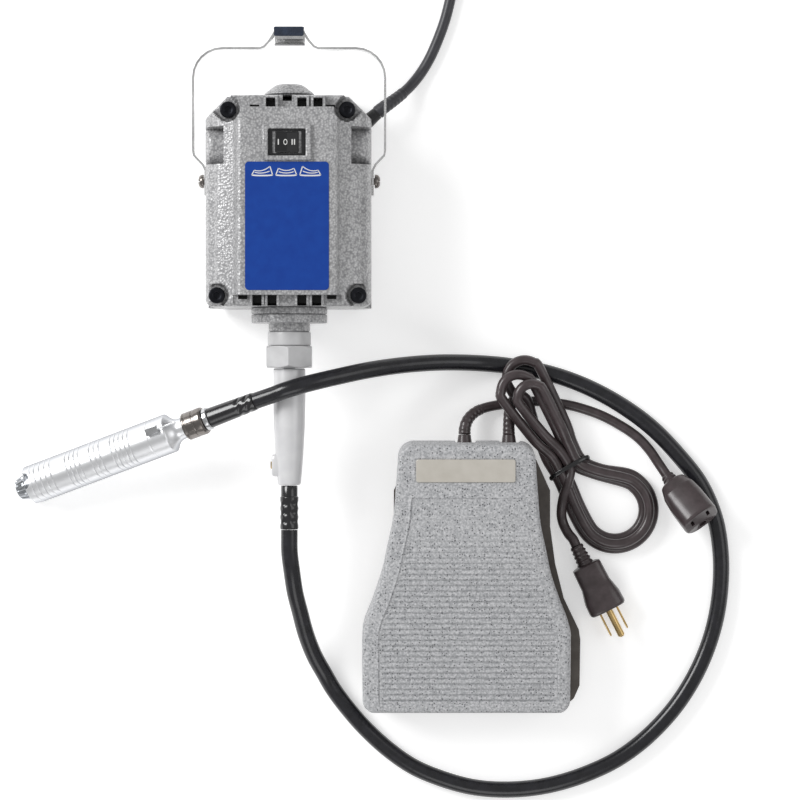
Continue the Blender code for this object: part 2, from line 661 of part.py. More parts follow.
def windings():
    """The armature and everything on its shaft, the wound field and the brushes."""
    bore = SHAFT_RADIUS + GAP
    rod("armature_shaft", SHAFT_RADIUS, -0.055, HOUSING_LENGTH - 0.0025, "Y", (0.0, 0.0, 0.0), STEEL, motor_axis)
    core = turned("armature_core", tube_ring(CORE_RADIUS, bore, 0.030, 0.076), "Y", (0.0, 0.0, 0.0),
                  SILICON_STEEL, motor_axis, 24, True)
    for i in range(8):
        angle = 2 * math.pi * i / 8
        boolean(core, box(f"core_slot_{i}", (0.0024, 0.060, 0.012),
                          (CORE_RADIUS * math.sin(angle), 0.053, CORE_RADIUS * math.cos(angle)),
                          None, motor_axis, rotation=(0.0, angle, 0.0)))
    turned("commutator", tube_ring(COMMUTATOR_RADIUS, bore, 0.103, 0.120), "Y", (0.0, 0.0, 0.0),
           COPPER, motor_axis, 24, True)
    hub = turned("cooling_fan", [(0.033, 0.0155), (0.033, 0.0140), (bore, 0.0140), (bore, 0.0240),
                                 (0.008, 0.0240), (0.008, 0.0155)], "Y", (0.0, 0.0, 0.0),
                 ALUMINIUM, motor_axis, 24, True)
    for i in range(8):
        angle = 2 * math.pi * i / 8
        boolean(hub, box(f"fan_blade_{i}", (0.0012, 0.0100, 0.022),
                         (0.0205 * math.sin(angle), 0.0195, 0.0205 * math.cos(angle)),
                         None, motor_axis, rotation=(0.0, angle, 0.0)), "UNION")
    turned("field_stack", tube_ring(FIELD_RADIUS, CORE_RADIUS + 0.0010, 0.032, 0.078), "Y",
           (0.0, 0.0, 0.0), SILICON_STEEL, motor_axis, 24, True)
    bearing = BEARING_RADIUS
    turned("front_bearing", tube_ring(bearing, bore, -0.0030, -0.0030 + BEARING_WIDTH), "Y",
           (0.0, 0.0, 0.0), STEEL, motor_axis, 20, True)
    turned("rear_bearing", tube_ring(bearing, bore, HOUSING_LENGTH - 0.0018 - BEARING_WIDTH,
                                     HOUSING_LENGTH - 0.0018), "Y", (0.0, 0.0, 0.0), STEEL, motor_axis, 20, True)
    for side, name in ((-1, "left"), (1, "right")):
        holder = turned(
            f"brush_holder_{name}",
            [(0.0, 0.0500), (0.0050, 0.0500), (0.0075, 0.0490), (0.0075, 0.0445), (BRUSH_RADIUS, 0.0445),
             (BRUSH_RADIUS, 0.0240), (0.0043, 0.0240), (0.0043, 0.0440), (0.0, 0.0440)],
            "X", (0.0, BRUSH_Y, 0.0), BLACK_PLASTIC, motor_axis, 24,
        )
        holder.rotation_euler = (0.0, side * math.pi / 2, 0.0)
        box(f"carbon_brush_{name}", (0.0240, 0.0055, 0.0055),
            (side * (COMMUTATOR_RADIUS + 0.0004 + 0.0120), BRUSH_Y, 0.0), CARBON, motor_axis)


def nose():
    """Everything turned in front of the housing, towards -Y."""
    bore = NOSE_BORE
    groove = NECK_RADIUS + 0.0080
    turned(
        "end_bell",
        [(SPIGOT_RADIUS, 0.0060), (SPIGOT_RADIUS, -GAP), (FLANGE_RADIUS, -GAP), (FLANGE_RADIUS, -0.0046),
         (groove, -0.0046), (groove, -0.0052), (FLANGE_RADIUS, -0.0052), (FLANGE_RADIUS, -0.0108),
         (NECK_RADIUS - 0.0006, -0.0108), (NECK_RADIUS - 0.0006, -0.0164), (NECK_RADIUS, -0.0168),
         (NECK_RADIUS, -0.0260), (bore, -0.0260), (bore, -0.0033), (BEARING_RADIUS + GAP, -0.0033),
         (BEARING_RADIUS + GAP, 0.0060)],
        "Y", (0.0, 0.0, 0.0), HAMMERTONE, motor_axis, 28, True,
    )
    corner = NUT_ACROSS_FLATS / math.sqrt(3)
    hexagon = [(corner * math.sin(math.radians(60 * k)), corner * math.cos(math.radians(60 * k)))
               for k in range(6)]
    nut = prism("hex_nut", hexagon, 0.0263, 0.0413, STEEL, motor_axis, rotation=(math.pi / 2, 0.0, 0.0))
    boolean(nut, rod("nut_bore", bore, -0.05, 0.0, "Y", (0.0, 0.0, 0.0), None, motor_axis))
    back = -0.0416
    front = back - NOSE_LENGTH
    tube = turned(
        "sheath_nose",
        [(0.0, back), (NOSE_BACK_RADIUS, back), (NOSE_BACK_RADIUS, back - 0.040), (0.0093, back - 0.060),
         (NOSE_TIP_RADIUS, front), (0.0, front)],
        "Y", (0.0, 0.0, 0.0), LIGHT_NOSE, motor_axis, 24,
    )
    boolean(tube, box("set_screw_boss", (0.0100, 0.0155, 0.0090), (-0.0068, -0.1079, 0.0), None, motor_axis),
            "UNION")
    boolean(tube, rod("nose_bore", bore, -0.2, 0.0, "Y", (0.0, 0.0, 0.0), None, motor_axis))
    boolean(tube, rod("set_screw_hole", 0.0025 + GAP, -0.0300, 0.0, "X", (0.0, -0.1079, 0.0), None,
                      motor_axis, 16))
    rod("nose_set_screw", 0.0025, -0.0128, -0.0052, "X", (0.0, -0.1079, 0.0), BRASS, motor_axis, 16)
    start = front - GAP
    turned(
        "motor_ferrule",
        [(0.0056, start), (0.0056, start - 0.0076), (FERRULE_RADIUS, start - 0.0080),
         (FERRULE_RADIUS, start - FERRULE_LENGTH), (0.0035, start - FERRULE_LENGTH), (0.0035, start)],
        "Y", (0.0, 0.0, 0.0), BLACK_PLASTIC, motor_axis, 20, True,
    )
    return start - FERRULE_LENGTH


def cord_gland():
    gland = turned(
        "motor_cord_gland",
        [(0.0, 0.0530), (0.0044, 0.0530), (0.0052, 0.0420), (0.0052, 0.0330), (0.0, 0.0330)],
        "Z", CORD_INLET, BLACK_PLASTIC, motor, 20,
    )
    gland.rotation_euler = CORD_TURN


housings()
motor_screws()
rear_cap()
bail()
switch()
windings()
SHEATH_START = nose()
cord_gland()

# ---------------------------------------------------------------- handpiece
rest_height = GRIP_RADIUS * math.cos(HANDPIECE_TILT) + 0.0001
handpiece = empty(
    "handpiece_frame", (*HANDPIECE_AT, rest_height), (0.0, -HANDPIECE_TILT, HANDPIECE_HEADING), layout
)
ORIGIN = (0.0, 0.0, 0.0)


def grip():
    end = GRIP_LENGTH + TAIL_LENGTH
    shell = turned(
        "handpiece_shell",
        [(TAIL_RADIUS, end), (TAIL_RADIUS, end - 0.0020), (0.0080, end - 0.0050), (0.0098, end - 0.0080),
         (GRIP_RADIUS - 0.0008, GRIP_LENGTH), (GRIP_RADIUS, GRIP_LENGTH - 0.0008), (GRIP_RADIUS, 0.0010),
         (GRIP_RADIUS - 0.0010, 0.0), (GRIP_BORE, 0.0), (GRIP_BORE, GRIP_LENGTH - 0.0030),
         (0.0060, GRIP_LENGTH - 0.0030), (0.0060, end)],
        "X", ORIGIN, ALUMINIUM, handpiece, 28, True,
    )
    for i in range(3):
        angle = 2 * math.pi * i / 3 + math.pi / 2
        notch = rod(f"key_notch_{i}", 0.0042, 0.005, 0.030, "Z", (0.0, 0.0, 0.0), None, handpiece, 20)
        notch.rotation_euler = (angle, 0.0, 0.0)
        boolean(shell, notch)
    return end


def spindle():
    bore = SPINDLE_RADIUS + GAP
    turned(
        "spindle",
        [(0.0, 0.0980), (0.0023, 0.0980), (0.0023, 0.1060), (SPINDLE_RADIUS, 0.1060), (SPINDLE_RADIUS, 0.0165),
         (0.0055, 0.0160), (0.0055, -0.0070), (0.0044, -0.0070), (0.0044, 0.0060), (0.0, 0.0060)],
        "X", ORIGIN, STEEL, handpiece, 20,
    )
    for name, start in (("front", 0.0200), ("rear", 0.0920)):
        turned(f"spindle_bearing_{name}", tube_ring(SPINDLE_BEARING_RADIUS, bore, start, start + 0.0070),
               "X", ORIGIN, STEEL, handpiece, 20, True)
    sleeve = turned(
        "chuck_sleeve",
        [(CHUCK_RADIUS, 0.0060), (CHUCK_RADIUS, -0.0040), (0.0072, -CHUCK_REACH + 0.0010),
         (0.0066, -CHUCK_REACH), (0.0058, -CHUCK_REACH), (0.0058, 0.0060)],
        "X", ORIGIN, STEEL, handpiece, 28, True,
    )
    for i in range(3):
        angle = 2 * math.pi * i / 3
        box(f"chuck_jaw_{i + 1}", (0.0110, 0.0018, 0.0018),
            (-0.0030, 0.0029 * math.sin(angle), 0.0029 * math.cos(angle)), STEEL, handpiece,
            rotation=(-angle, 0.0, 0.0))
    return sleeve


def latch():
    """The small catch on top of the grip, with its wire reaching back to the collar."""
    seat = math.sqrt(GRIP_RADIUS**2 - 0.0031**2)
    block = box("latch", (0.0087, 0.0050, 0.0030), (0.1020, 0.0056, seat + GAP + 0.0015), STEEL, handpiece)
    boolean(block, rod("latch_wire", 0.0007, 0.1040, 0.1200, "X", (0.0, 0.0056, seat + 0.0020), None,
                       handpiece, 12), "UNION")


def tail_fittings(end):
    start = end + GAP
    turned(
        "quick_collar",
        [(COLLAR_RADIUS - 0.0008, start + COLLAR_LENGTH), (COLLAR_RADIUS, start + COLLAR_LENGTH - 0.0008),
         (COLLAR_RADIUS, start + 0.0008), (COLLAR_RADIUS - 0.0008, start), (0.0040, start),
         (0.0040, start + COLLAR_LENGTH)],
        "X", ORIGIN, DARK_NICKEL, handpiece, 24, True,
    )
    base = start + COLLAR_LENGTH + GAP
    tip = base + SLEEVE_LENGTH
    turned(
        "handpiece_ferrule",
        [(SLEEVE_BACK_RADIUS - 0.0005, tip), (SLEEVE_BACK_RADIUS, base + 0.0040), (0.0079, base + 0.0035),
         (0.0079, base), (0.0030, base), (0.0030, tip)],
        "X", ORIGIN, BLACK_PLASTIC, handpiece, 20, True,
    )
    rod("drive_key", 0.0019, 0.0990, tip - 0.0010, "X", ORIGIN, STEEL, handpiece, 16)
    return tip


SHEATH_END = tail_fittings(grip())
spindle()
latch()

# ---------------------------------------------------------------- foot pedal
pedal = empty("pedal_frame", PEDAL_AT, parent=layout)
treadle_frame = empty("treadle_frame", (0.0, *PEDAL_HINGE), (PEDAL_SLOPE, 0.0, 0.0), pedal)
FULL_TREADLE = mirrored(TREADLE_OUTLINE)
FULL_BASE = [(x + BASE_OFFSET, y) for x, y in mirrored(BASE_OUTLINE)]
GLAND_AT = ((-0.0008, 0.0150), (0.0300, 0.0150))
GLAND_RADIUS = 0.0052


def from_pin(outline):
    """The outline measured from the treadle's pin instead of its heel edge."""
    return [(x, y - PEDAL_HINGE[0]) for x, y in outline]


def treadle():
    top = TREADLE_TOP
    shell = prism("treadle", from_pin(FULL_TREADLE), top - TREADLE_DEPTH, top, PEDAL_PAINT, treadle_frame)
    inner = prism("treadle_hollow", from_pin(inset(FULL_TREADLE, TREADLE_WALL)), top - TREADLE_DEPTH - 0.01,
                  top - TREADLE_WALL, None, treadle_frame)
    boolean(shell, inner)
    toe = TREADLE_OUTLINE[-1][1] - PEDAL_HINGE[0]
    for i, (x, _) in enumerate(GLAND_AT):
        boolean(shell, box(f"treadle_notch_{i}", (0.0140, 0.0200, 0.0220),
                           (x, toe, top - TREADLE_DEPTH), None, treadle_frame))
    boolean(shell, rod("treadle_pin_hole", HINGE_PIN_RADIUS + GAP, -0.2, 0.2, "X", ORIGIN, None,
                       treadle_frame, 20))
    box("nameplate", (0.0677, 0.0157, 0.0010), (-0.0008, 0.1654 - PEDAL_HINGE[0], top + GAP + 0.0005),
        PLATE, treadle_frame)


def pedal_base():
    base = prism("pedal_base", FULL_BASE, PAD_THICKNESS + GAP, BASE_FLANGE_TOP, DARK_BASE, pedal)
    wall = prism("base_upstand", inset(FULL_TREADLE, UPSTAND_INSET), PAD_THICKNESS + 0.002, UPSTAND_TOP,
                 None, pedal)
    boolean(base, wall, "UNION")
    boolean(base, prism("base_hollow", inset(FULL_TREADLE, UPSTAND_INSET + UPSTAND_WALL), BASE_FLANGE_TOP,
                        0.1, None, pedal))
    boolean(base, rod("base_pin_hole", HINGE_PIN_RADIUS + GAP, -0.2, 0.2, "X", (0.0, *PEDAL_HINGE), None,
                      pedal, 20))
    for i, (x, z) in enumerate(GLAND_AT):
        boolean(base, rod(f"gland_hole_{i}", GLAND_RADIUS + GAP, 0.160, 0.200, "Y", (x, 0.0, z), None, pedal, 20))
    prism("base_pad", inset(FULL_BASE, 0.0060), 0.0, PAD_THICKNESS, RUBBER, pedal)
    rod("hinge_pin", HINGE_PIN_RADIUS, -0.0700, 0.0700, "X", (0.0, *PEDAL_HINGE), STEEL, pedal, 20)


def pedal_inside():
    ceiling = PEDAL_HINGE[1] + (TREADLE_TOP - TREADLE_WALL)
    height = ceiling + (SPRING_Y - PEDAL_HINGE[0]) * math.tan(PEDAL_SLOPE) - 0.0016
    low = BASE_FLANGE_TOP + GAP + SPRING_WIRE / 2
    steps = SPRING_TURNS * 12
    helix = []
    for i in range(steps + 1):
        angle = 2 * math.pi * i / 12
        rise = low + (height - low) * i / steps
        helix.append((0.020 + SPRING_RADIUS * math.cos(angle), SPRING_Y + SPRING_RADIUS * math.sin(angle), rise))
    wire("return_spring", helix, SPRING_WIRE, STEEL, pedal)
    x, y = CONTROL_AT
    length, width, tall = CONTROL_SIZE
    control = box("speed_control", CONTROL_SIZE, (x, y, BASE_FLANGE_TOP + GAP + tall / 2), BLACK_PLASTIC, pedal)
    boolean(control, rod("plunger_bore", PLUNGER_RADIUS + GAP, BASE_FLANGE_TOP + 0.0014, 0.1, "Z", (x, y, 0.0),
                         None, pedal, 20))
    under = ceiling + (y - 0.004 - PEDAL_HINGE[0]) * math.tan(PEDAL_SLOPE)
    rod("control_plunger", PLUNGER_RADIUS, 0.0225, under - 0.0006, "Z", (x, y, 0.0), BLACK_PLASTIC, pedal, 20)


def pedal_glands():
    """Two cord glands on one moulded strip, behind the toe wall of the base."""
    nozzles = []
    for i, (x, z) in enumerate(GLAND_AT):
        nozzles.append(turned(
            "cord_glands" if i == 0 else "second_gland",
            [(0.0, 0.1900), (0.0043, 0.1900), (GLAND_RADIUS, 0.1840), (GLAND_RADIUS, 0.1700), (0.0, 0.1700)],
            "Y", (x, 0.0, z), BLACK_PLASTIC if i == 0 else None, pedal, 20,
        ))
    middle = (GLAND_AT[0][0] + GLAND_AT[1][0]) / 2
    strip = box("gland_strip", (GLAND_AT[1][0] - GLAND_AT[0][0], 0.0035, 0.0080), (middle, 0.1735, 0.0150),
                None, pedal)
    boolean(nozzles[0], strip, "UNION")
    boolean(nozzles[0], nozzles[1], "UNION")


treadle()
pedal_base()
pedal_inside()
pedal_glands()

# ---------------------------------------------------------------- cords and what is on them
handpiece_matrix = Matrix.LocRotScale(
    handpiece.location, handpiece.rotation_euler.to_quaternion(), None
)
sheath_from = Vector((MOTOR_AT[0], MOTOR_AT[1] + SHEATH_START - GAP, AXIS_HEIGHT))
sheath_to = handpiece_matrix @ Vector((SHEATH_END + GAP, 0.0, 0.0))
sheath_points = [sheath_from, *SHEATH_ROUTE, sheath_to]
wire("flex_sheath", smooth_path(sheath_points, 0.0160), SHEATH_DIAMETER, BLACK_VINYL, layout)


def plug(name, at, heading, surface=BROWN_VINYL):
    """A moulded three-pin plug: its relief starts at the frame's origin and +X runs to the pins."""
    frame = empty(f"{name}_frame", at, (0.0, 0.0, heading), layout)
    body = loft(
        name,
        [(0.0, 0.0046, 0.0046, 2), (0.0140, 0.0060, 0.0060, 2), (0.0148, 0.0103, 0.0092, 5),
         (0.0320, 0.0108, 0.0100, 4), (0.0400, 0.0133, 0.0110, 3), (0.0500, 0.0133, 0.0110, 3)],
        surface, frame,
    )
    for side in (-1, 1):
        boolean(body, box(f"{name}_blade_{side}", (0.0200, 0.0015, 0.0063), (0.0575, side * 0.00635, -0.0042),
                          None, frame), "UNION")
    boolean(body, rod(f"{name}_earth", 0.0024, 0.0480, 0.0700, "X", (0.0, 0.0, 0.0065), None, frame, 12),
            "UNION")
    return body


def receptacle():
    frame = empty("receptacle_frame", RECEPTACLE_AT, (0.0, -RECEPTACLE_PITCH, RECEPTACLE_HEADING), layout)
    body = loft(
        "receptacle",
        [(0.0, 0.0046, 0.0046, 2), (0.0060, 0.0056, 0.0056, 2), (0.0080, 0.0095, 0.0090, 3),
         (0.0160, 0.0125, 0.0115, 3.5), (0.0420, 0.0135, 0.0122, 3)],
        BROWN_VINYL, frame,
    )
    for side in (-1, 1):
        boolean(body, box(f"receptacle_slot_{side}", (0.0300, 0.0020, 0.0072), (0.0420, side * 0.00635, 0.0040),
                          None, frame))
    boolean(body, rod("receptacle_earth", 0.0027, 0.0270, 0.0600, "X", (0.0, 0.0, -0.0062), None, frame, 16))


def hank():
    """The supply cord folded and tied, leaning on the lead and the sheath, and the loop below its tie."""
    tie, top = Vector(HANK_TIE), Vector(HANK_TOP)
    along = (top - tie).normalized()
    length = (top - tie).length
    outline = []
    for centre, radius, start in ((0.0, HANK_TIE_RADIUS, 90), (length, HANK_TOP_RADIUS, -90)):
        for k in range(9):
            angle = math.radians(start + 22.5 * k)
            outline.append((centre + radius * math.cos(angle), radius * math.sin(angle)))
    lift = HANK_TIE_RADIUS * math.sin(HANK_TILT) + 0.0003
    frame = empty("hank_frame", (*HANK_TIE, lift), (0.0, -HANK_TILT, math.atan2(along.y, along.x)), layout)
    bundle = prism("supply_cord_hank", outline, 0.0, HANK_THICKNESS, BROWN_VINYL, frame)
    half = LOOP_HALF_SECTION
    ring = [(LOOP_RADIUS + half * math.sin(a), half + half * math.cos(a))
            for a in (2 * math.pi * k / 10 for k in range(10))]
    loop = turned("supply_cord_loop", ring, "Z", (*LOOP_AT, 0.0002), None, layout, 24, True)
    boolean(bundle, loop, "UNION")


def motor_cord():
    wire("motor_cord", smooth_path(MOTOR_CORD_ROUTE, 0.0110), CORD_DIAMETER, BLACK_VINYL, layout)
    half = COIL_HALF_SECTION
    ring = [(COIL_MIDDLE_RADIUS + half * math.sin(a), half + half * math.cos(a))
            for a in (2 * math.pi * k / 10 for k in range(10))]
    turned("motor_cord_coil", ring, "Z", (*COIL_AT, 0.0002), BLACK_VINYL, layout, 24, True)
    plug("motor_plug", MOTOR_PLUG_AT, MOTOR_PLUG_HEADING, BLACK_VINYL)


receptacle()
hank()
motor_cord()
wire("pedal_lead", smooth_path(PIGTAIL_ROUTE, 0.0110), PEDAL_CORD_DIAMETER, BROWN_VINYL, layout)
wire("supply_cord_tail", smooth_path(PLUG_TAIL_ROUTE, 0.0080), PEDAL_CORD_DIAMETER, BROWN_VINYL, layout)
plug("supply_plug", (0.1930, -0.1219, PLUG_AXIS_HEIGHT), PLUG_DIRECTION)
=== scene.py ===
# %% [markdown]
# # Rotary tool with flex shaft
# A small universal motor hangs from a bent strap. Its shaft turns a steel core inside a black
# sheath, and the core turns the chuck of a slim metal handpiece. A cast foot pedal sets the speed.
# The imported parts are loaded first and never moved: this script gives them their finish and puts
# finely made surfaces where the plain solids are too simple.

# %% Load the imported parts
import math

import bmesh
import bpy
import numpy as np
from mathutils import Euler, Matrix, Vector


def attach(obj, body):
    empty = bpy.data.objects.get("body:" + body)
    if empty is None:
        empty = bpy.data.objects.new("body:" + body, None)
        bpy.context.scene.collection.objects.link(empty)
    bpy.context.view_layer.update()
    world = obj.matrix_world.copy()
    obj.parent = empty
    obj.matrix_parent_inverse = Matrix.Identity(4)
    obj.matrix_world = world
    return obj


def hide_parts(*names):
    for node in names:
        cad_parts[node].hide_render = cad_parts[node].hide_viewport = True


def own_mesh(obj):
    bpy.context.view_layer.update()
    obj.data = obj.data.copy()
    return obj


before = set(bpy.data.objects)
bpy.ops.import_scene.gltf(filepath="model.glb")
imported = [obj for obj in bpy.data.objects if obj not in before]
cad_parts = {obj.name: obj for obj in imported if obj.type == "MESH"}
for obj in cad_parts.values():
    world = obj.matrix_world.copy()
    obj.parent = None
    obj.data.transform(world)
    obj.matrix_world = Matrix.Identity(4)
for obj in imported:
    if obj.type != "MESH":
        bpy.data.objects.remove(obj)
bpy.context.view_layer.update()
MM = 0.001
SHIFT = np.array([0.0007, 0.0011, 0.0])  # from the layout's frame to the part's

# %% [markdown]
# ## Three places everything is measured from
# Each assembly has its own frame: an origin and three directions. A point worked out in an
# assembly's own millimetres is then carried to its place by one matrix product, so the finished
# object can stay at the world's origin, unturned and unscaled.

# %% Assembly frames
MOTOR_ORIGIN = np.array([-0.0054, 0.0430, 0.0]) + SHIFT
MOTOR_AXIS = MOTOR_ORIGIN + np.array([0.0, 0.0, 0.046])
PEDAL_ORIGIN = np.array([0.1160, -0.2343, 0.0]) + SHIFT
GRIP_ORIGIN = np.array([-0.1855, -0.0786, 0.013267])
GRIP_TILT, GRIP_HEADING = math.radians(14.5), math.radians(20.4)
PEDAL_SLOPE = math.radians(6.14)
PEDAL_PIN = np.array([0.0, 0.0120, 0.0220])


def turn_matrix(x=0.0, y=0.0, z=0.0):
    """Rotation by x, then y, then z about the fixed axes, as a 3 by 3 array."""
    return np.array(Euler((x, y, z)).to_matrix())


def carried(points, origin, turn=None):
    """Own-frame points, turned and then moved to the origin: p' = R p + o."""
    points = np.asarray(points, float)
    return (points if turn is None else points @ turn.T) + np.asarray(origin, float)


def placed(shape, origin, turn=None, scale=1.0):
    """A (points, faces) pair, its points scaled, turned and moved."""
    return carried(np.asarray(shape[0]) * scale, origin, turn), shape[1]


GRIP_TURN = turn_matrix(0.0, -GRIP_TILT, GRIP_HEADING)
TREADLE_TURN = turn_matrix(PEDAL_SLOPE)
TREADLE_ORIGIN = PEDAL_ORIGIN + PEDAL_PIN
print("handpiece points along", GRIP_TURN[:, 0].round(3))

# %% [markdown]
# ## Meshes from arrays
# Every new surface is a grid of points from a formula in two parameters. One helper joins the
# grid into quads, one welds the two ends of a closed direction, and one hands the arrays to
# Blender. Nothing loops over the points.


# %% Surface helpers
WELD = 2e-6  # points closer than this become one


def grid_faces(rows, columns, around=True):
    """Quads of a rows by columns grid, closed round the columns if asked: (i,j),(i,j+1),(i+1,j+1),(i+1,j)."""
    last = columns if around else columns - 1
    i, j = np.meshgrid(np.arange(rows - 1), np.arange(last), indexing="ij")
    k = (j + 1) % columns
    return np.stack([i * columns + j, i * columns + k, (i + 1) * columns + k, (i + 1) * columns + j],
                    -1).reshape(-1, 4)


def closed_grid(points):
    """A rows x columns x 3 grid closed round its columns, with a fan to the middle at each end row."""
    rows, columns = points.shape[:2]
    flat = points.reshape(-1, 3)
    ends = np.array([points[0].mean(0), points[-1].mean(0)])
    j = np.arange(columns)
    k = (j + 1) % columns
    first = np.stack([k, j, np.full(columns, rows * columns)], -1)
    base = (rows - 1) * columns
    last = np.stack([base + j, base + k, np.full(columns, rows * columns + 1)], -1)
    return np.vstack([flat, ends]), [*grid_faces(rows, columns).tolist(), *first.tolist(), *last.tolist()]


def merged(parts):
    """Several (points, faces) pairs as one."""
    points, faces, start = [], [], 0
    for some, these in parts:
        points.append(np.asarray(some))
        faces += [[start + n for n in face] for face in these]
        start += len(some)
    return np.vstack(points), faces


def mesh_piece(name, shape, material, body="root", sharp=35.0):
    """Puts (points, faces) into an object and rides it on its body."""
    mesh = bpy.data.meshes.new(name)
    mesh.from_pydata(np.asarray(shape[0]).tolist(), [], [list(face) for face in shape[1]])
    shell = bmesh.new()
    shell.from_mesh(mesh)
    bmesh.ops.remove_doubles(shell, verts=shell.verts, dist=WELD)
    bmesh.ops.recalc_face_normals(shell, faces=shell.faces)
    shell.to_mesh(mesh)
    shell.free()
    mesh.shade_smooth()
    mesh.set_sharp_from_angle(angle=math.radians(sharp))
    piece = bpy.data.objects.new(name, mesh)
    bpy.context.scene.collection.objects.link(piece)
    piece.data.materials.append(material)
    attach(piece, body)
    return piece


def turned(profile, axis="Y", steps=64, wave=None):
    """A lathe shape from (radius, height) points: (r cos a, h, r sin a), with r times wave(a, h) if given."""
    profile = np.asarray(profile, float)
    angle = np.linspace(0.0, 2 * math.pi, steps, endpoint=False)
    radius = profile[:, :1] * np.ones_like(angle)
    if wave is not None:
        radius = radius * wave(angle[None, :], profile[:, 1:])
    across, up = radius * np.cos(angle), radius * np.sin(angle)
    along = profile[:, 1:] + 0 * angle
    order = {"X": (along, across, up), "Y": (across, along, up), "Z": (across, up, along)}[axis]
    return closed_grid(np.stack(order, -1))


def eased(points, count, corner=0.0004):
    """A profile resampled with its corners cut back, so that edges catch the light."""
    points = np.asarray(points, float)
    before, after = points[1:-1] - points[:-2], points[2:] - points[1:-1]
    lengths = np.linalg.norm(before, axis=1), np.linalg.norm(after, axis=1)
    cut = np.minimum(corner, 0.4 * np.minimum(*lengths))[:, None]
    start = points[1:-1] - before / lengths[0][:, None] * cut
    end = points[1:-1] + after / lengths[1][:, None] * cut
    t = np.linspace(0.0, 1.0, count)[None, :, None]
    bend = (1 - t) ** 2 * start[:, None] + 2 * t * (1 - t) * points[1:-1, None] + t**2 * end[:, None]
    return np.vstack([points[:1], bend.reshape(-1, points.shape[1]), points[-1:]])


print("surface helpers ready")

# %% [markdown]
# ## Cords as tubes
# A cord is a circle carried along a smooth curve. The curve goes through the chosen points
# (a Catmull-Rom curve), and the circle's own two directions come from the curve's direction and
# the vertical, which works because no cord here ever runs straight up.


# %% Cord helpers
def smooth_line(points, spacing=0.0015):
    """Catmull-Rom curve through the points, resampled to even steps: cubic blends of each four neighbours."""
    p = np.asarray(points, float)
    p = np.vstack([2 * p[0] - p[1], p, 2 * p[-1] - p[-2]])
    a, b, c, d = (p[i : len(p) - 3 + i, None] for i in range(4))
    t = np.linspace(0.0, 1.0, 24, endpoint=False)[None, :, None]
    curve = 0.5 * (2 * b + (c - a) * t + (2 * a - 5 * b + 4 * c - d) * t**2 + (3 * b - a - 3 * c + d) * t**3)
    line = np.vstack([curve.reshape(-1, 3), p[-2]])
    return even(line, spacing)


def even(line, spacing):
    """The same line with points a spacing apart, by interpolation along its length."""
    run = np.concatenate([[0.0], np.cumsum(np.linalg.norm(np.diff(line, axis=0), axis=1))])
    wanted = np.linspace(0.0, run[-1], max(3, round(run[-1] / spacing) + 1))
    return np.stack([np.interp(wanted, run, line[:, k]) for k in range(3)], -1)


def line_length(line):
    """The sum of the steps between a line's points."""
    return float(np.linalg.norm(np.diff(line, axis=0), axis=1).sum())


def tube(line, radius, sides=20):
    """Circles carried along the line: p = c + r (n cos a + b sin a), where the radius r may vary."""
    along = np.gradient(line, axis=0)
    along /= np.linalg.norm(along, axis=1)[:, None]
    side = np.cross(along, [0.0, 0.0, 1.0])
    side /= np.linalg.norm(side, axis=1)[:, None]
    up = np.cross(side, along)
    angle = np.linspace(0.0, 2 * math.pi, sides, endpoint=False)[None, :, None]
    radius = np.broadcast_to(np.asarray(radius, float), (len(line),))[:, None, None]
    ring = line[:, None] + radius * (side[:, None] * np.cos(angle) + up[:, None] * np.sin(angle))
    return closed_grid(ring)


def lifted(line, radius):
    """The line raised where its tube would touch the table."""
    return np.column_stack([line[:, :2], np.maximum(line[:, 2], radius + 0.05 * MM)])


def cord_piece(name, line, diameter, material, wobble=0.0):
    """A cord's mesh: a tube whose radius varies a little along it."""
    run = np.linspace(0.0, line_length(line), len(line))
    radius = diameter / 2 * (1 + wobble * np.sin(run / 0.011) * np.sin(run / 0.031))
    return mesh_piece(name, tube(line, radius), material, "root", sharp=50)


print("cord helpers ready")

# %% [markdown]
# ## Camera, table and light
# The tool lies on a white studio table, seen from straight above through a long lens, so that
# sizes stay true across the picture. The table is white to the camera and in reflections, and a
# large soft lamp from the upper left leaves a faint shadow at each piece's lower right.

# %% Camera, table and lamps
scene = bpy.context.scene
scene.view_settings.view_transform = "Standard"
CAMERA_AT = (0.07105, -0.0192, 2.1)
lens = bpy.data.cameras.new("camera")
lens.lens, lens.sensor_width, lens.clip_end = 135.0, 36.0, 20.0
camera = bpy.data.objects.new("camera", lens)
camera.location = CAMERA_AT
scene.collection.objects.link(camera)
scene.camera = camera


def linear(channel):
    """One sRGB channel, 0 to 1, as linear light."""
    return channel / 12.92 if channel <= 0.04045 else ((channel + 0.055) / 1.055) ** 2.4


def rgb(code):
    """An sRGB hex value as a linear colour with alpha."""
    return (*(linear(int(code[i : i + 2], 16) / 255) for i in (0, 2, 4)), 1.0)


def add(tree, kind, inputs=None, **settings):
    """Adds a shader node, sets its properties, and sets or links its inputs."""
    node = tree.nodes.new("ShaderNode" + kind)
    for key, value in settings.items():
        setattr(node, key, value)
    for key, value in (inputs or {}).items():
        if isinstance(value, bpy.types.NodeSocket):
            tree.links.new(value, node.inputs[key])
        else:
            node.inputs[key].default_value = value
    return node


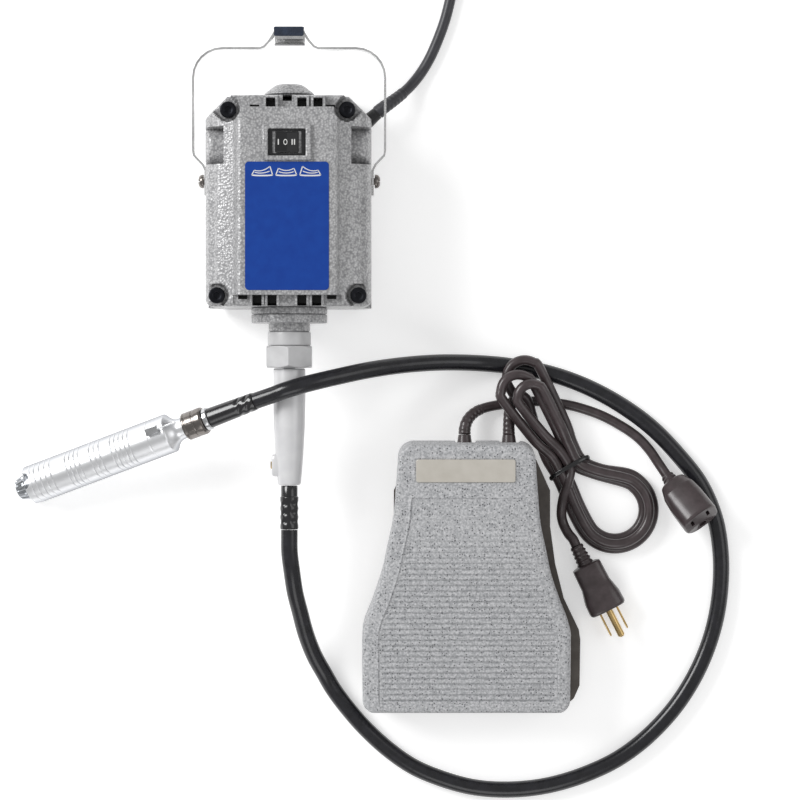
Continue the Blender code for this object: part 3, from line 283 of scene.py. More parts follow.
def table_material():
    """White to the camera, to gloss and through glass; a plain pale matt surface that keeps the shadow."""
    made = bpy.data.materials.new("studio_table")
    made.use_nodes = True
    tree = made.node_tree
    tree.nodes.clear()
    rays = add(tree, "LightPath")
    seen = add(tree, "Math", {0: rays.outputs["Is Camera Ray"], 1: rays.outputs["Is Glossy Ray"]},
               operation="MAXIMUM")
    matt = add(tree, "BsdfDiffuse", {"Color": rgb("f4f4f4")})
    glow = add(tree, "Emission", {"Color": (1.0, 1.0, 1.0, 1.0), "Strength": 0.42})
    both = add(tree, "AddShader", {0: matt.outputs[0], 1: glow.outputs[0]})
    mix = add(tree, "MixShader", {0: seen.outputs[0], 1: matt.outputs[0], 2: both.outputs[0]})
    add(tree, "OutputMaterial", {"Surface": mix.outputs[0]})
    return made


TABLE_SIZE = 6.0
table_mesh = bpy.data.meshes.new("table")
half = TABLE_SIZE / 2
table_mesh.from_pydata([(-half, -half, 0), (half, -half, 0), (half, half, 0), (-half, half, 0)], [],
                       [(0, 1, 2, 3)])
table = bpy.data.objects.new("table", table_mesh)
table.location.z = -0.0002
scene.collection.objects.link(table)
table_mesh.materials.append(table_material())

world = bpy.data.worlds.new("studio")
scene.world = world
world.use_nodes = True
world.node_tree.nodes["Background"].inputs["Color"].default_value = rgb("ffffff")
sky = world.node_tree.nodes["Background"]
seen = add(world.node_tree, "LightPath").outputs["Is Camera Ray"]
world.node_tree.links.new(add(world.node_tree, "MapRange", {0: seen, 3: 0.43, 4: 1.0}).outputs[0],
                          sky.inputs["Strength"])


def soft_lamp(name, at, size, power):
    """A square soft box that faces the middle of the table."""
    data = bpy.data.lights.new(name, "AREA")
    data.shape, data.size, data.energy = "SQUARE", size, power
    lamp = bpy.data.objects.new(name, data)
    lamp.location = at
    lamp.rotation_euler = (-Vector(at)).to_track_quat("-Z", "Y").to_euler()
    scene.collection.objects.link(lamp)


soft_lamp("upper_left", (-1.5, 0.9, 1.3), 1.0, 33.0)
soft_lamp("right_fill", (1.5, 0.2, 1.5), 1.2, 5.0)
soft_lamp("low_front", (0.1, -1.5, 1.2), 1.0, 5.0)
print("camera at", CAMERA_AT)

# %% [markdown]
# ## Finishes
# Each finish starts from what the real surface is. A pattern's size is written in millimetres and
# turned to a noise scale (one over the size in metres). Constants sit on the shader itself.


# %% Material helpers
def surface(name, colour, roughness, metallic=0.0, **more):
    """A new material and its shader, with the constants on the shader's own sockets."""
    made = bpy.data.materials.new(name)
    made.use_nodes = True
    shader = made.node_tree.nodes["Principled BSDF"]
    constants = {"Base Color": rgb(colour), "Roughness": roughness, "Metallic": metallic, **more}
    for key, value in constants.items():
        shader.inputs[key].default_value = value
    return made, made.node_tree, shader


def noise(tree, size_mm, detail=3.0, roughness=0.5, stretch=(1.0, 1.0, 1.0), turn=(0.0, 0.0, 0.0)):
    """Noise with features of a size in millimetres, on Object coordinates."""
    where = add(tree, "TexCoord")
    mapped = add(tree, "Mapping", {0: where.outputs["Object"], "Scale": stretch, "Rotation": turn})
    return add(tree, "TexNoise", {"Vector": mapped.outputs[0], "Scale": 1000.0 / size_mm, "Detail": detail,
                                  "Roughness": roughness}).outputs[0]


def ramp(tree, value, *stops):
    """Colours or greys at positions: (0.3, "8a8a8a"), ..."""
    node = add(tree, "ValToRGB", {"Fac": value})
    band = node.color_ramp
    while len(band.elements) > 1:
        band.elements.remove(band.elements[-1])
    for i, (position, colour) in enumerate(stops):
        element = band.elements[0] if i == 0 else band.elements.new(position)
        element.position = position
        element.color = rgb(colour)
    return node.outputs[0]


def grey(tree, value, low, high):
    """The value, 0 to 1, as a number from low to high."""
    return add(tree, "MapRange", {0: value, 3: low, 4: high}).outputs[0]


def bump(tree, shader, height, depth_mm, strength=1.0):
    """Relief of a depth in millimetres on the shader's normal."""
    node = add(tree, "Bump", {"Height": height, "Strength": strength, "Distance": depth_mm * MM})
    tree.links.new(node.outputs[0], shader.inputs["Normal"])


def feed(tree, shader, **inputs):
    """Links values to the shader's sockets by their names."""
    for key, value in inputs.items():
        tree.links.new(value, shader.inputs[key.replace("_", " ").title()])


# %% Enamels and castings
def hammertone():
    """Hammertone enamel: silicone in the paint draws it into smooth dimples about 1.3 mm across."""
    made, tree, shader = surface("hammertone_enamel", "b0b0b1", 0.36, 0.2,
                                 **{"Coat Weight": 0.3, "Coat Roughness": 0.2})
    where = add(tree, "TexCoord").outputs["Object"]
    warp = add(tree, "TexNoise", {"Vector": where, "Scale": 420.0, "Detail": 2.0}).outputs[1]
    bent = add(tree, "MixRGB", {0: 0.0012, 1: where, 2: warp}, blend_type="ADD").outputs[0]
    cells = add(tree, "TexVoronoi", {"Vector": bent, "Scale": 1000.0 / 1.5, "Smoothness": 0.5},
                feature="SMOOTH_F1").outputs["Distance"]
    cloud = noise(tree, 14.0, 3.0)
    tone = ramp(tree, cells, (0.10, "cfcfd0"), (0.38, "b8b8b9"), (0.72, "939395"))
    patch = ramp(tree, cloud, (0.35, "efefef"), (0.65, "ffffff"))
    tint = add(tree, "MixRGB", {0: 1.0, 1: tone, 2: patch}, blend_type="MULTIPLY").outputs[0]
    feed(tree, shader, base_color=tint, roughness=grey(tree, cells, 0.26, 0.46))
    bump(tree, shader, cells, 0.30, 0.9)
    return made


def plain_enamel(name, colour, darker, roughness=0.3):
    """Smooth sprayed enamel: faint orange peel at about 2 mm and slight cloudiness."""
    made, tree, shader = surface(name, colour, roughness, 0.1, **{"Coat Weight": 0.3, "Coat Roughness": 0.15})
    feed(tree, shader, base_color=ramp(tree, noise(tree, 9.0), (0.3, darker), (0.7, colour)),
         roughness=grey(tree, noise(tree, 5.0), roughness - 0.05, roughness + 0.08))
    bump(tree, shader, noise(tree, 1.8, 1.0), 0.03, 0.6)
    return made


def speckled_enamel():
    """Textured enamel over a casting: a pale grey coat with 0.4 to 1 mm specks of dark grey and white."""
    made, tree, shader = surface("speckled_enamel", "b4b5b7", 0.5)
    where = add(tree, "TexCoord").outputs["Object"]
    coarse = add(tree, "TexVoronoi", {"Vector": where, "Scale": 1000.0 / 1.7, "Randomness": 1.0})
    fine = noise(tree, 1.5, 2.0, 0.65)
    ground = ramp(tree, fine, (0.36, "999a9d"), (0.50, "b3b4b6"), (0.66, "cdcdcf"))
    speck = add(tree, "MapRange", {0: coarse.outputs["Distance"], 1: 0.22, 2: 0.34, 3: 1.0,
                                   4: 0.0}).outputs[0]
    pick = add(tree, "SeparateColor", {0: coarse.outputs["Color"]}).outputs[0]
    dark = add(tree, "Math", {0: pick, 1: 0.62}, operation="GREATER_THAN").outputs[0]
    amount = add(tree, "Math", {0: speck, 1: dark}, operation="MULTIPLY").outputs[0]
    tint = add(tree, "MixRGB", {0: amount, 1: ground, 2: rgb("4c4d51")}).outputs[0]
    feed(tree, shader, base_color=tint)
    bump(tree, shader, fine, 0.14, 0.7)
    return made


# %% Metals
def metal(name, colour, roughness, grain_mm=0.5, stretch=(1.0, 1.0, 1.0), turn=(0.0, 0.0, 0.0), depth=0.012):
    """Bare or plated metal: tool marks stretched along the way it was worked, and a little uneven polish."""
    made, tree, shader = surface(name, colour, roughness, 1.0)
    marks = noise(tree, grain_mm, 3.0, 0.6, stretch, turn)
    cloud = noise(tree, 11.0, 3.0)
    tones = ["".join(f"{min(255, int(int(colour[i : i + 2], 16) * k)):02x}" for i in (0, 2, 4))
             for k in (0.88, 1.06)]
    feed(tree, shader, base_color=ramp(tree, cloud, (0.3, tones[0]), (0.7, tones[1])),
         roughness=grey(tree, marks, max(0.05, roughness - 0.08), roughness + 0.12))
    bump(tree, shader, marks, depth, 0.6)
    return made


# %% Plastics and vinyls
def moulded(name, colour, lighter, roughness, grain_mm=0.4, depth=0.02, **more):
    """Moulded plastic or rubber: a fine even grain, with slightly worn, lighter patches."""
    made, tree, shader = surface(name, colour, roughness, 0.0, **more)
    grain = noise(tree, grain_mm, 2.0, 0.6)
    feed(tree, shader, base_color=ramp(tree, noise(tree, 6.0, 4.0), (0.35, colour), (0.75, lighter)),
         roughness=grey(tree, grain, roughness - 0.06, roughness + 0.10))
    bump(tree, shader, grain, depth, 0.6)
    return made


HAMMERTONE = hammertone()
NOSE_ENAMEL = plain_enamel("light_grey_enamel", "dededf", "d6d6d8", 0.3)
SATIN_STEEL = plain_enamel("satin_plated_steel", "cbcbcc", "c0c0c1", 0.4)
SPECKLED = speckled_enamel()
BLACK_OXIDE = metal("black_oxide_steel", "2b2c30", 0.36, 0.4)
ZINC = metal("bright_zinc_plate", "f1f1f2", 0.24, 0.5, (1.0, 1.0, 0.1))
GROUND_STEEL = metal("ground_steel", "b4b7bb", 0.26, 0.35, (0.12, 1.0, 1.0))
SPRING_STEEL = metal("spring_steel", "9c9fa3", 0.3)
ALUMINIUM = metal("clear_anodised_aluminium", "e2e4e8", 0.34, 0.3, (0.15, 1.0, 1.0), (0.0, 0.0, GRIP_HEADING))
tree = ALUMINIUM.node_tree  # painted shade: the base colour turns greyer towards the rim, where the view grazes the surface
edge = ramp(tree, add(tree, "LayerWeight").outputs["Facing"], (0.35, "f2f3f5"), (0.62, "c4c6ca"),
            (0.92, "7c7e83"))
feed(tree, tree.nodes["Principled BSDF"], base_color=edge)
SILVER = metal("nickel_plate", "cfd0d2", 0.16, 0.4)
DARK_NICKEL = metal("dark_nickel_plate", "85807c", 0.2, 0.4)
BRASS = metal("turned_brass", "d2b47c", 0.26, 0.4)
COPPER = metal("turned_copper", "b4693f", 0.3, 0.3)
LAMINATED = metal("laminated_steel", "6f7175", 0.45, 0.5, (0.1, 4.0, 0.1), depth=0.05)
SATIN_PLATE = plain_enamel("satin_nameplate", "cbc6bd", "c2bdb3", 0.4)
BLACK_PLASTIC = moulded("black_moulded_plastic", "141416", "1d1d20", 0.32)
# Painted reflection: a dark blue-black coated finish that stands for the dark reflection on the strap's bare
# metal hook hump.
HOOK_REFLECTION_PAINT = moulded("painted_hook_reflection", "1d2636", "29354a", 0.25,
                       **{"Coat Weight": 0.4, "Coat Roughness": 0.1})
CARBON = moulded("pressed_carbon", "232324", "2e2e30", 0.7)
SLEEVE = moulded("black_crimped_sleeve", "101012", "1b1b1e", 0.2, 0.9, 0.03,
                 **{"Coat Weight": 0.5, "Coat Roughness": 0.1})
SHEATH_VINYL = moulded("black_sheath_vinyl", "1a1a1d", "26262b", 0.2, 0.8, 0.02)
CORD_VINYL = moulded("charcoal_cord_vinyl", "323236", "3d3d42", 0.36, 0.5, 0.02)
BROWN_VINYL = moulded("brown_black_cord_vinyl", "3a3132", "4a4042", 0.3, 0.5, 0.02,
                      **{"Coat Weight": 0.25, "Coat Roughness": 0.2})
BASE_PLASTIC = moulded("dark_moulded_base", "524c47", "625c57", 0.45, 0.6, 0.03)
RUBBER = moulded("black_rubber", "1c1c1c", "262626", 0.8, 0.5, 0.05)
WHITE_MARK = plain_enamel("white_pad_print", "e9e9e7", "dededc", 0.4)
print("finishes made:", len(bpy.data.materials))

# %% [markdown]
# ## The flexible shaft's sheath
# A vinyl sheath over a steel liner, 11.5 mm thick and 0.93 m long. It leaves the motor's nose,
# sweeps round the pedal in a wide loop, crosses over the nose and enters the handpiece.

# %% Sheath
SHEATH_DIAMETER = 11.5 * MM
SHEATH_ROUTE = [
    (-0.0054, -0.1120, 0.0460), (-0.0053, -0.1244, 0.0455), (-0.0039, -0.1368, 0.0435),
    (-0.0018, -0.1522, 0.0385), (0.0014, -0.1665, 0.0310), (0.0052, -0.1824, 0.0220),
    (0.0106, -0.1976, 0.0140), (0.0174, -0.2106, 0.0085), (0.0243, -0.2227, 0.0062),
    (0.0348, -0.2367, 0.0059), (0.0473, -0.2507, 0.0059), (0.0627, -0.2646, 0.0059),
    (0.0794, -0.2761, 0.0059), (0.0983, -0.2842, 0.0059), (0.1192, -0.2901, 0.0059),
    (0.1402, -0.2922, 0.0059), (0.1625, -0.2911, 0.0059), (0.1834, -0.2869, 0.0059),
    (0.2044, -0.2796, 0.0059), (0.2239, -0.2698, 0.0059), (0.2428, -0.2555, 0.0059),
    (0.2606, -0.2367, 0.0059), (0.2742, -0.2164, 0.0059), (0.2843, -0.1948, 0.0059),
    (0.2909, -0.1725, 0.0059), (0.2941, -0.1494, 0.0059), (0.2941, -0.1264, 0.0059),
    (0.2902, -0.1027, 0.0059), (0.2805, -0.0796, 0.0059), (0.2658, -0.0601, 0.0059),
    (0.2463, -0.0398, 0.0059), (0.2239, -0.0234, 0.0059), (0.1995, -0.0105, 0.0059),
    (0.1737, -0.0015, 0.0059), (0.1471, 0.0034, 0.0059), (0.1226, 0.0055, 0.0092),
    (0.0981, 0.0057, 0.0185), (0.0738, 0.0039, 0.0310), (0.0500, 0.0004, 0.0450),
    (0.0273, -0.0045, 0.0570), (0.0080, -0.0092, 0.0634), (-0.0060, -0.0132, 0.0642),
    (-0.0172, -0.0172, 0.0605),
]
SHEATH_FROM = (-0.0054, -0.1092, 0.0460)
SHEATH_TO_X = 174.4 * MM  # along the handpiece's own axis
sheath_end = carried([[SHEATH_TO_X, 0.0, 0.0]], GRIP_ORIGIN, GRIP_TURN)[0]
sheath_line = smooth_line([*(np.array([SHEATH_FROM, *SHEATH_ROUTE]) + SHIFT), sheath_end])
sheath = cord_piece("sheath", sheath_line, SHEATH_DIAMETER, SHEATH_VINYL, 0.006)
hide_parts("flex_sheath")
print("sheath length", round(line_length(sheath_line), 3))

# %% [markdown]
# ## The motor's cord
# 1.9 m of 7.5 mm cord. It comes out of its gland, drops to the table and runs into a round
# coil: seven turns in three layers, each turn beside or on the one before. Every turn is a circle
# whose radius and height slip to the next place over a sixth of a turn.

# %% Motor cord and its coil
CORD_DIAMETER = 7.5 * MM
MOTOR_CORD_ROUTE = [
    (0.0548, 0.1789, 0.0196), (0.0587, 0.1823, 0.0195), (0.0648, 0.1870, 0.0160), (0.0717, 0.1928, 0.0108),
    (0.0780, 0.1992, 0.0065), (0.0843, 0.2072, 0.0042), (0.0906, 0.2175, 0.0038), (0.0962, 0.2298, 0.0038),
    (0.1018, 0.2452, 0.0038), (0.1060, 0.2620, 0.0038), (0.1085, 0.2750, 0.0040), (0.1098, 0.2860, 0.0041),
    (0.1105, 0.2975, 0.0042),
]
COIL_AT = np.array([0.1600, 0.3200])
COIL_RADIUS = 38.0 * MM
MOTOR_PLUG_AT = np.array([0.2235, 0.3440, 0.0112])
LAYER = 0.87  # a strand resting between two others rises by this share of its diameter


def coil_turns(places):
    """Clockwise turns: radius and height blend from each place to the next over the last sixth of a turn."""
    radius, height = np.array(places).T
    turns = len(places)
    t = np.arange(turns * 24) / 24
    which = np.floor(t).astype(int)
    after = np.minimum(which + 1, turns - 1)
    s = np.clip((t - which - 0.80) / 0.20, 0.0, 1.0)
    s = s * s * (3 - 2 * s)
    r = radius[which] * (1 - s) + radius[after] * s
    z = height[which] * (1 - s) + height[after] * s
    angle = math.pi - 2 * math.pi * t
    return np.stack([COIL_AT[0] + r * np.cos(angle), COIL_AT[1] + r * np.sin(angle), z], -1)


low = CORD_DIAMETER / 2 + 0.0003  # just above the table
step = CORD_DIAMETER * LAYER
gap = CORD_DIAMETER / 2 + 0.0001  # half the distance between neighbours
turn_places = [
    (COIL_RADIUS + gap, low), (COIL_RADIUS - gap, low), (COIL_RADIUS - 2 * gap, low + step),
    (COIL_RADIUS, low + step), (COIL_RADIUS + 2 * gap, low + step), (COIL_RADIUS + gap, low + 2 * step),
    (COIL_RADIUS + gap, low + 2 * step),
]
turns = coil_turns(turn_places)[2:-9]
plug_lead = [
    (COIL_AT[0] + 0.0290, COIL_AT[1] + 0.0440, 0.0175), (COIL_AT[0] + 0.0440, COIL_AT[1] + 0.0440, 0.0175),
    (COIL_AT[0] + 0.0560, COIL_AT[1] + 0.0395, 0.0150), (COIL_AT[0] + 0.0620, COIL_AT[1] + 0.0320, 0.0122),
    tuple(MOTOR_PLUG_AT),
]
motor_cord_line = lifted(smooth_line(np.vstack([MOTOR_CORD_ROUTE, turns, plug_lead]) + SHIFT),
                         CORD_DIAMETER / 2)
motor_cord = cord_piece("motor_cord_full", motor_cord_line, CORD_DIAMETER, CORD_VINYL)
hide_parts("motor_cord", "motor_cord_coil")
print("motor cord length", round(line_length(motor_cord_line), 3))

# %% [markdown]
# ## The pedal's two cords
# A short lead goes to the receptacle that the motor plugs into. The supply cord is folded into a
# small hank: loops on one side of a wire tie, round turns on the other, and its plug below. The
# hank's own directions are u, from the tie to the tops of its loops, and v, across it.

# %% Pedal lead
PEDAL_CORD_DIAMETER = 7.0 * MM
PIGTAIL_ROUTE = [
    (0.1152, -0.0440, 0.0150), (0.1155, -0.0395, 0.0146), (0.1170, -0.0350, 0.0132),
    (0.1200, -0.0310, 0.0110), (0.1245, -0.0278, 0.0084), (0.1305, -0.0255, 0.0060),
    (0.1388, -0.0238, 0.0043), (0.1486, -0.0226, 0.0037), (0.1612, -0.0213, 0.0036),
    (0.1738, -0.0217, 0.0036), (0.1912, -0.0245, 0.0036), (0.2087, -0.0301, 0.0036),
    (0.2227, -0.0371, 0.0036), (0.2353, -0.0455, 0.0036), (0.2440, -0.0545, 0.0044),
    (0.2508, -0.0645, 0.0062), (0.2561, -0.0727, 0.0093),
]
lead_line = lifted(smooth_line(np.array(PIGTAIL_ROUTE) + SHIFT), PEDAL_CORD_DIAMETER / 2)
pedal_lead = cord_piece("pedal_lead_cord", lead_line, PEDAL_CORD_DIAMETER, BROWN_VINYL)
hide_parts("pedal_lead")
print("pedal lead length", round(line_length(lead_line), 3))

# %% Supply cord and its hank
TIE_AT = np.array([0.1886, -0.0676])
HANK_U = np.array([-0.5018, 0.8650])
HANK_V = np.array([0.8650, 0.5018])
RING_U, RING_V, RING_RADIUS = -0.0414, 0.0128, 0.0236
RISE = 0.1405  # the hank leans on the lead and the sheath below it
FIRST, SECOND = 0.0038, 0.0102  # heights of the two layers at the tie


def lean(u):
    """How far the hank is lifted u past its tie."""
    return RISE * np.maximum(0.0, u - 0.004)


def top_loop(up, down, middle, radius, up_z, down_z, lift):
    """Up one lane, over the top in a half circle, and down another: points (u, v, z)."""
    u, v = middle
    angle = np.radians(np.arange(0, 181, 30))
    arc = np.stack([u + radius * np.sin(angle), v + radius * np.cos(angle)], -1)
    rise = [(0.014, up), (0.030, up * 0.5 + (v + radius) * 0.5)]
    fall = [(0.030, down * 0.5 + (v - radius) * 0.5), (0.014, down)]
    flat = np.vstack([[(0.0, up)], rise, arc, fall, [(0.0, down)]])
    t = np.linspace(0.0, 1.0, len(flat))
    z = up_z * (1 - t) + down_z * t + lean(flat[:, 0]) + lift * np.clip(flat[:, 0] / 0.035, 0.0, 1.0)
    return np.column_stack([flat, z])


def ring_loop(out, back, grow, out_z, back_z, ring_z):
    """Out of the tie, round the ring and back: points (u, v, z)."""
    radius = RING_RADIUS + grow
    phi = np.radians(np.arange(0, 221, 22))
    arc = np.stack([RING_U - radius * np.sin(phi), RING_V - radius * np.cos(phi)], -1)
    side = RING_V - radius
    flat = np.vstack([[(-0.012, out * 0.7 + side * 0.3), (-0.026, out * 0.2 + side * 0.8)], arc,
                      [(-0.0120, back + 0.0085)]])
    z = np.full(len(flat), ring_z)
    z[0], z[1], z[-1] = (out_z + ring_z) / 2, ring_z, (back_z + ring_z) / 2
    return np.column_stack([flat, z])


LANE = 0.0036
hank_points = np.vstack([
    [(0.0415, -0.0252, 0.0150), (0.0480, -0.0214, 0.0149), (0.0550, -0.0168, 0.0147),
     (0.0606, -0.0110, 0.0146), (0.0615, -0.0050, 0.0143), (0.0560, -0.0020, 0.0132),
     (0.0460, -0.0040, 0.0108), (0.0300, -0.0080, 0.0075), (0.0140, -3 * LANE, 0.0048),
     (0.0, -3 * LANE, FIRST)],
    ring_loop(-3 * LANE, 3 * LANE, LANE, FIRST, FIRST, FIRST),
    top_loop(3 * LANE, -LANE, (0.0700, 0.0040), 0.0125, FIRST, FIRST, 0.0022),
    ring_loop(-LANE, LANE, -LANE, FIRST, FIRST, FIRST),
    top_loop(LANE, -2 * LANE, (0.0640, -0.0050), 0.0120, FIRST, SECOND, 0.0080),
    ring_loop(-2 * LANE, 2 * LANE, 0.0, SECOND, SECOND, SECOND),
    top_loop(2 * LANE, 0.0, (0.0560, 0.0010), 0.0095, SECOND, SECOND, 0.0092),
    [(-0.0080, -0.0060, 0.0112), (-0.0160, -0.0145, 0.0106), (-0.0240, -0.0205, 0.0080),
     (-0.0310, -0.0232, 0.0068), (-0.0390, -0.0238, 0.0084)],
])
hank_world = np.column_stack([TIE_AT + hank_points[:, :1] * HANK_U + hank_points[:, 1:2] * HANK_V,
                              hank_points[:, 2]])
SUPPLY_PLUG_AT = np.array([0.1930, -0.1219, 0.0112])
supply_points = np.vstack([hank_world, [(0.1908, -0.1172, 0.0104)], [SUPPLY_PLUG_AT]]) + SHIFT
supply_line = lifted(smooth_line(supply_points), PEDAL_CORD_DIAMETER / 2)
supply_cord = cord_piece("supply_cord", supply_line, PEDAL_CORD_DIAMETER, BROWN_VINYL)
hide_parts("supply_cord_hank", "supply_cord_tail")
print("supply cord length", round(line_length(supply_line), 3))

# %% [markdown]
# ## Plain parts with softened edges
# A machined or moulded part never has a knife edge. Where the solid's shape is already right, a
# copy of its mesh is merged, its flat faces are joined again, and a narrow bevel rounds the edges.

# %% Softened copies
def softened(node, width_mm, material, body, segments=3, angle=28.0):
    """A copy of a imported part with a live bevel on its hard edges, shown in its place."""
    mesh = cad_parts[node].data.copy()
    mesh.name = node + "_finished"
    shell = bmesh.new()
    shell.from_mesh(mesh)
    bmesh.ops.remove_doubles(shell, verts=shell.verts, dist=5e-6)
    bmesh.ops.dissolve_limit(shell, angle_limit=math.radians(1.0), verts=shell.verts, edges=shell.edges)
    shell.to_mesh(mesh)
    shell.free()
    mesh.materials.clear()
    mesh.materials.append(material)
    mesh.shade_smooth()
    mesh.set_sharp_from_angle(angle=math.radians(40.0))
    piece = bpy.data.objects.new(node + "_finished", mesh)
    scene.collection.objects.link(piece)
    bevel = piece.modifiers.new("edges", "BEVEL")
    bevel.width, bevel.segments = width_mm * MM, segments
    bevel.limit_method, bevel.angle_limit = "ANGLE", math.radians(angle)
    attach(piece, body)
    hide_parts(node)
    return piece


softened("housing_rear", 1.2, HAMMERTONE, "root")
softened("switch_bezel", 1.1, HAMMERTONE, "root")
softened("switch_body", 0.3, BLACK_PLASTIC, "root")
softened("rocker", 0.9, BLACK_PLASTIC, "rocker", 4, 20.0)
softened("bail", 0.35, ZINC, "bail")
softened("latch", 0.4, SILVER, "root")
softened("pedal_base", 1.0, BASE_PLASTIC, "root")
softened("base_pad", 0.8, RUBBER, "root")
softened("speed_control", 0.8, BLACK_PLASTIC, "root")
softened("cord_glands", 0.4, BROWN_VINYL, "root")
print("softened parts ready")

# %% [markdown]
# ## The front casting
# The casting is a plate with two surfaces over one grid: its outside z(x, y), and the turned
# hollow inside. The outside is a raised middle panel, two sloping shoulders, a pocket round each
# clamp screw, a rounded cover over each brush, and a row of vents at each end. Writing it as a
# height above each point makes every one of those a short formula.


# %% Plate builder
def plate(x, y, top, bottom):
    """A closed slab over a grid: its upper and lower surface share x and y, and walls join their rims."""
    rows, columns = x.shape
    upper = np.stack([x, y, top], -1).reshape(-1, 3)
    lower = np.stack([x, y, bottom], -1).reshape(-1, 3)
    count = rows * columns
    faces = grid_faces(rows, columns, around=False)
    index = np.arange(count).reshape(rows, columns)
    rim = np.concatenate([index[0, :-1], index[:-1, -1], index[-1, :0:-1], index[:0:-1, 0]])
    after = np.roll(rim, -1)
    walls = np.stack([rim, rim + count, after + count, after], -1)
    return np.vstack([upper, lower]), [*faces.tolist(), *(faces[:, ::-1] + count).tolist(), *walls.tolist()]


def lines(low, high, spacing, *edges):
    """Grid lines about a spacing apart, with a close pair at each edge so that steps stand upright."""
    base = np.arange(low, high + spacing / 2, spacing)
    pairs = np.array([e + d for e in edges for d in (-0.06, 0.06)])
    kept = base[(np.abs(base[:, None] - pairs[None, :]) > spacing * 0.3).all(1)] if len(pairs) else base
    return np.unique(np.clip(np.concatenate([kept, pairs, [low, high]]), low, high))


def rounding(distance, radius):
    """How far a rounded edge has dropped at a distance in from the rim: r - sqrt(r^2 - (r - d)^2)."""
    inside = np.clip(radius - distance, 0.0, radius)
    return radius - np.sqrt(radius**2 - inside**2)


def step_up(value, start, width):
    """0 before start, 1 after start + width, smooth between."""
    t = np.clip((value - start) / width, 0.0, 1.0)
    return t * t * (3 - 2 * t)


def capsule(x, y, start, end):
    """Distance from a straight stroke between two points."""
    start, end = np.array(start), np.array(end)
    along = end - start
    t = np.clip(((x - start[0]) * along[0] + (y - start[1]) * along[1]) / (along @ along), 0.0, 1.0)
    return np.hypot(x - start[0] - t * along[0], y - start[1] - t * along[1])


# %% Front casting
HALF, LONG, SPLIT = 56.0, 141.8, 36.15  # half width, length and parting height, in millimetres
REAR_VENTS = [(-11.0, 133.2, 139.4), (10.0, 133.2, 139.4), (20.8, 133.2, 139.4), (0.0, 137.6, 141.7),
              (-22.0, 133.2, 135.0), (29.0, 133.2, 135.0)]
FRONT_VENTS = [(-20.2, 0.1, 7.2), (-10.1, 0.1, 7.2), (9.9, 0.1, 7.2), (19.8, 0.1, 7.2), (-30.0, 4.6, 7.2),
               (29.8, 4.6, 7.2)]
VENT_HALF = 3.1
FINGER = 1.7
SCREWS = [(-40.2, 132.4, 1), (40.2, 132.4, 1), (-47.8, 7.2, -1), (47.8, 7.2, -1)]


def casting_heights(x, y, half_width):
    """The outside of the front casting above the table, in millimetres."""
    side = np.abs(x)
    z = np.interp(side, [0, 31.5, 33.0, 34.0, 35.0, 36.5, 47.0, 48.2, 49.6, 53.0, 56.0],
                  [92, 92, 91.2, 89.0, 85.6, 83.6, 80.4, 79.2, 77.0, 74.8, 70.0])
    shelf = np.where(side < 36.5, np.where(side > 25.5, 84.0, 85.5), 100.0)
    z = np.where((y > 133.2) & (side < 36.5), np.minimum(z, shelf), z)
    z = np.where((y < 7.2) & (side < 36.5), np.minimum(z, shelf - 1.5), z)
    for xc, y0, y1 in REAR_VENTS[:3] + FRONT_VENTS[:4]:
        frame_zone = (np.abs(x - xc) < VENT_HALF + FINGER) & (y > y0 - 0.3) & (y < y1 + 1.4)
        z = np.where(frame_zone, np.maximum(z, 90.5 - 1.6 * (y < 9)), z)
    for xc, y0, y1 in REAR_VENTS + FRONT_VENTS:
        z = np.where((np.abs(x - xc) < VENT_HALF) & (y > y0) & (y < y1), 72.0, z)
    for xs, ys, end in SCREWS:
        out = np.sign(xs)
        reach = capsule(x, y, (xs, ys), (xs + out * 14.0, ys + end * 14.0))
        z = np.minimum(z, 74.0 + 18.0 * step_up(reach, 7.4, 1.6))
    covered = (side > 43.0) & (y > 95.8) & (y < 121.0)
    hump = 63.0 + np.sqrt(np.clip(12.6**2 - (y - 108.4) ** 2, 0.0, None)) - 1.2 * (side > 54.0)
    lip = np.where(np.abs(y - 108.4) > 11.6, 71.5, hump)
    z = np.where(covered, np.minimum(z, lip), z)
    rim = np.minimum.reduce([half_width - side, y, LONG - y])
    return z - rounding(rim, 2.2) * (z > 60)


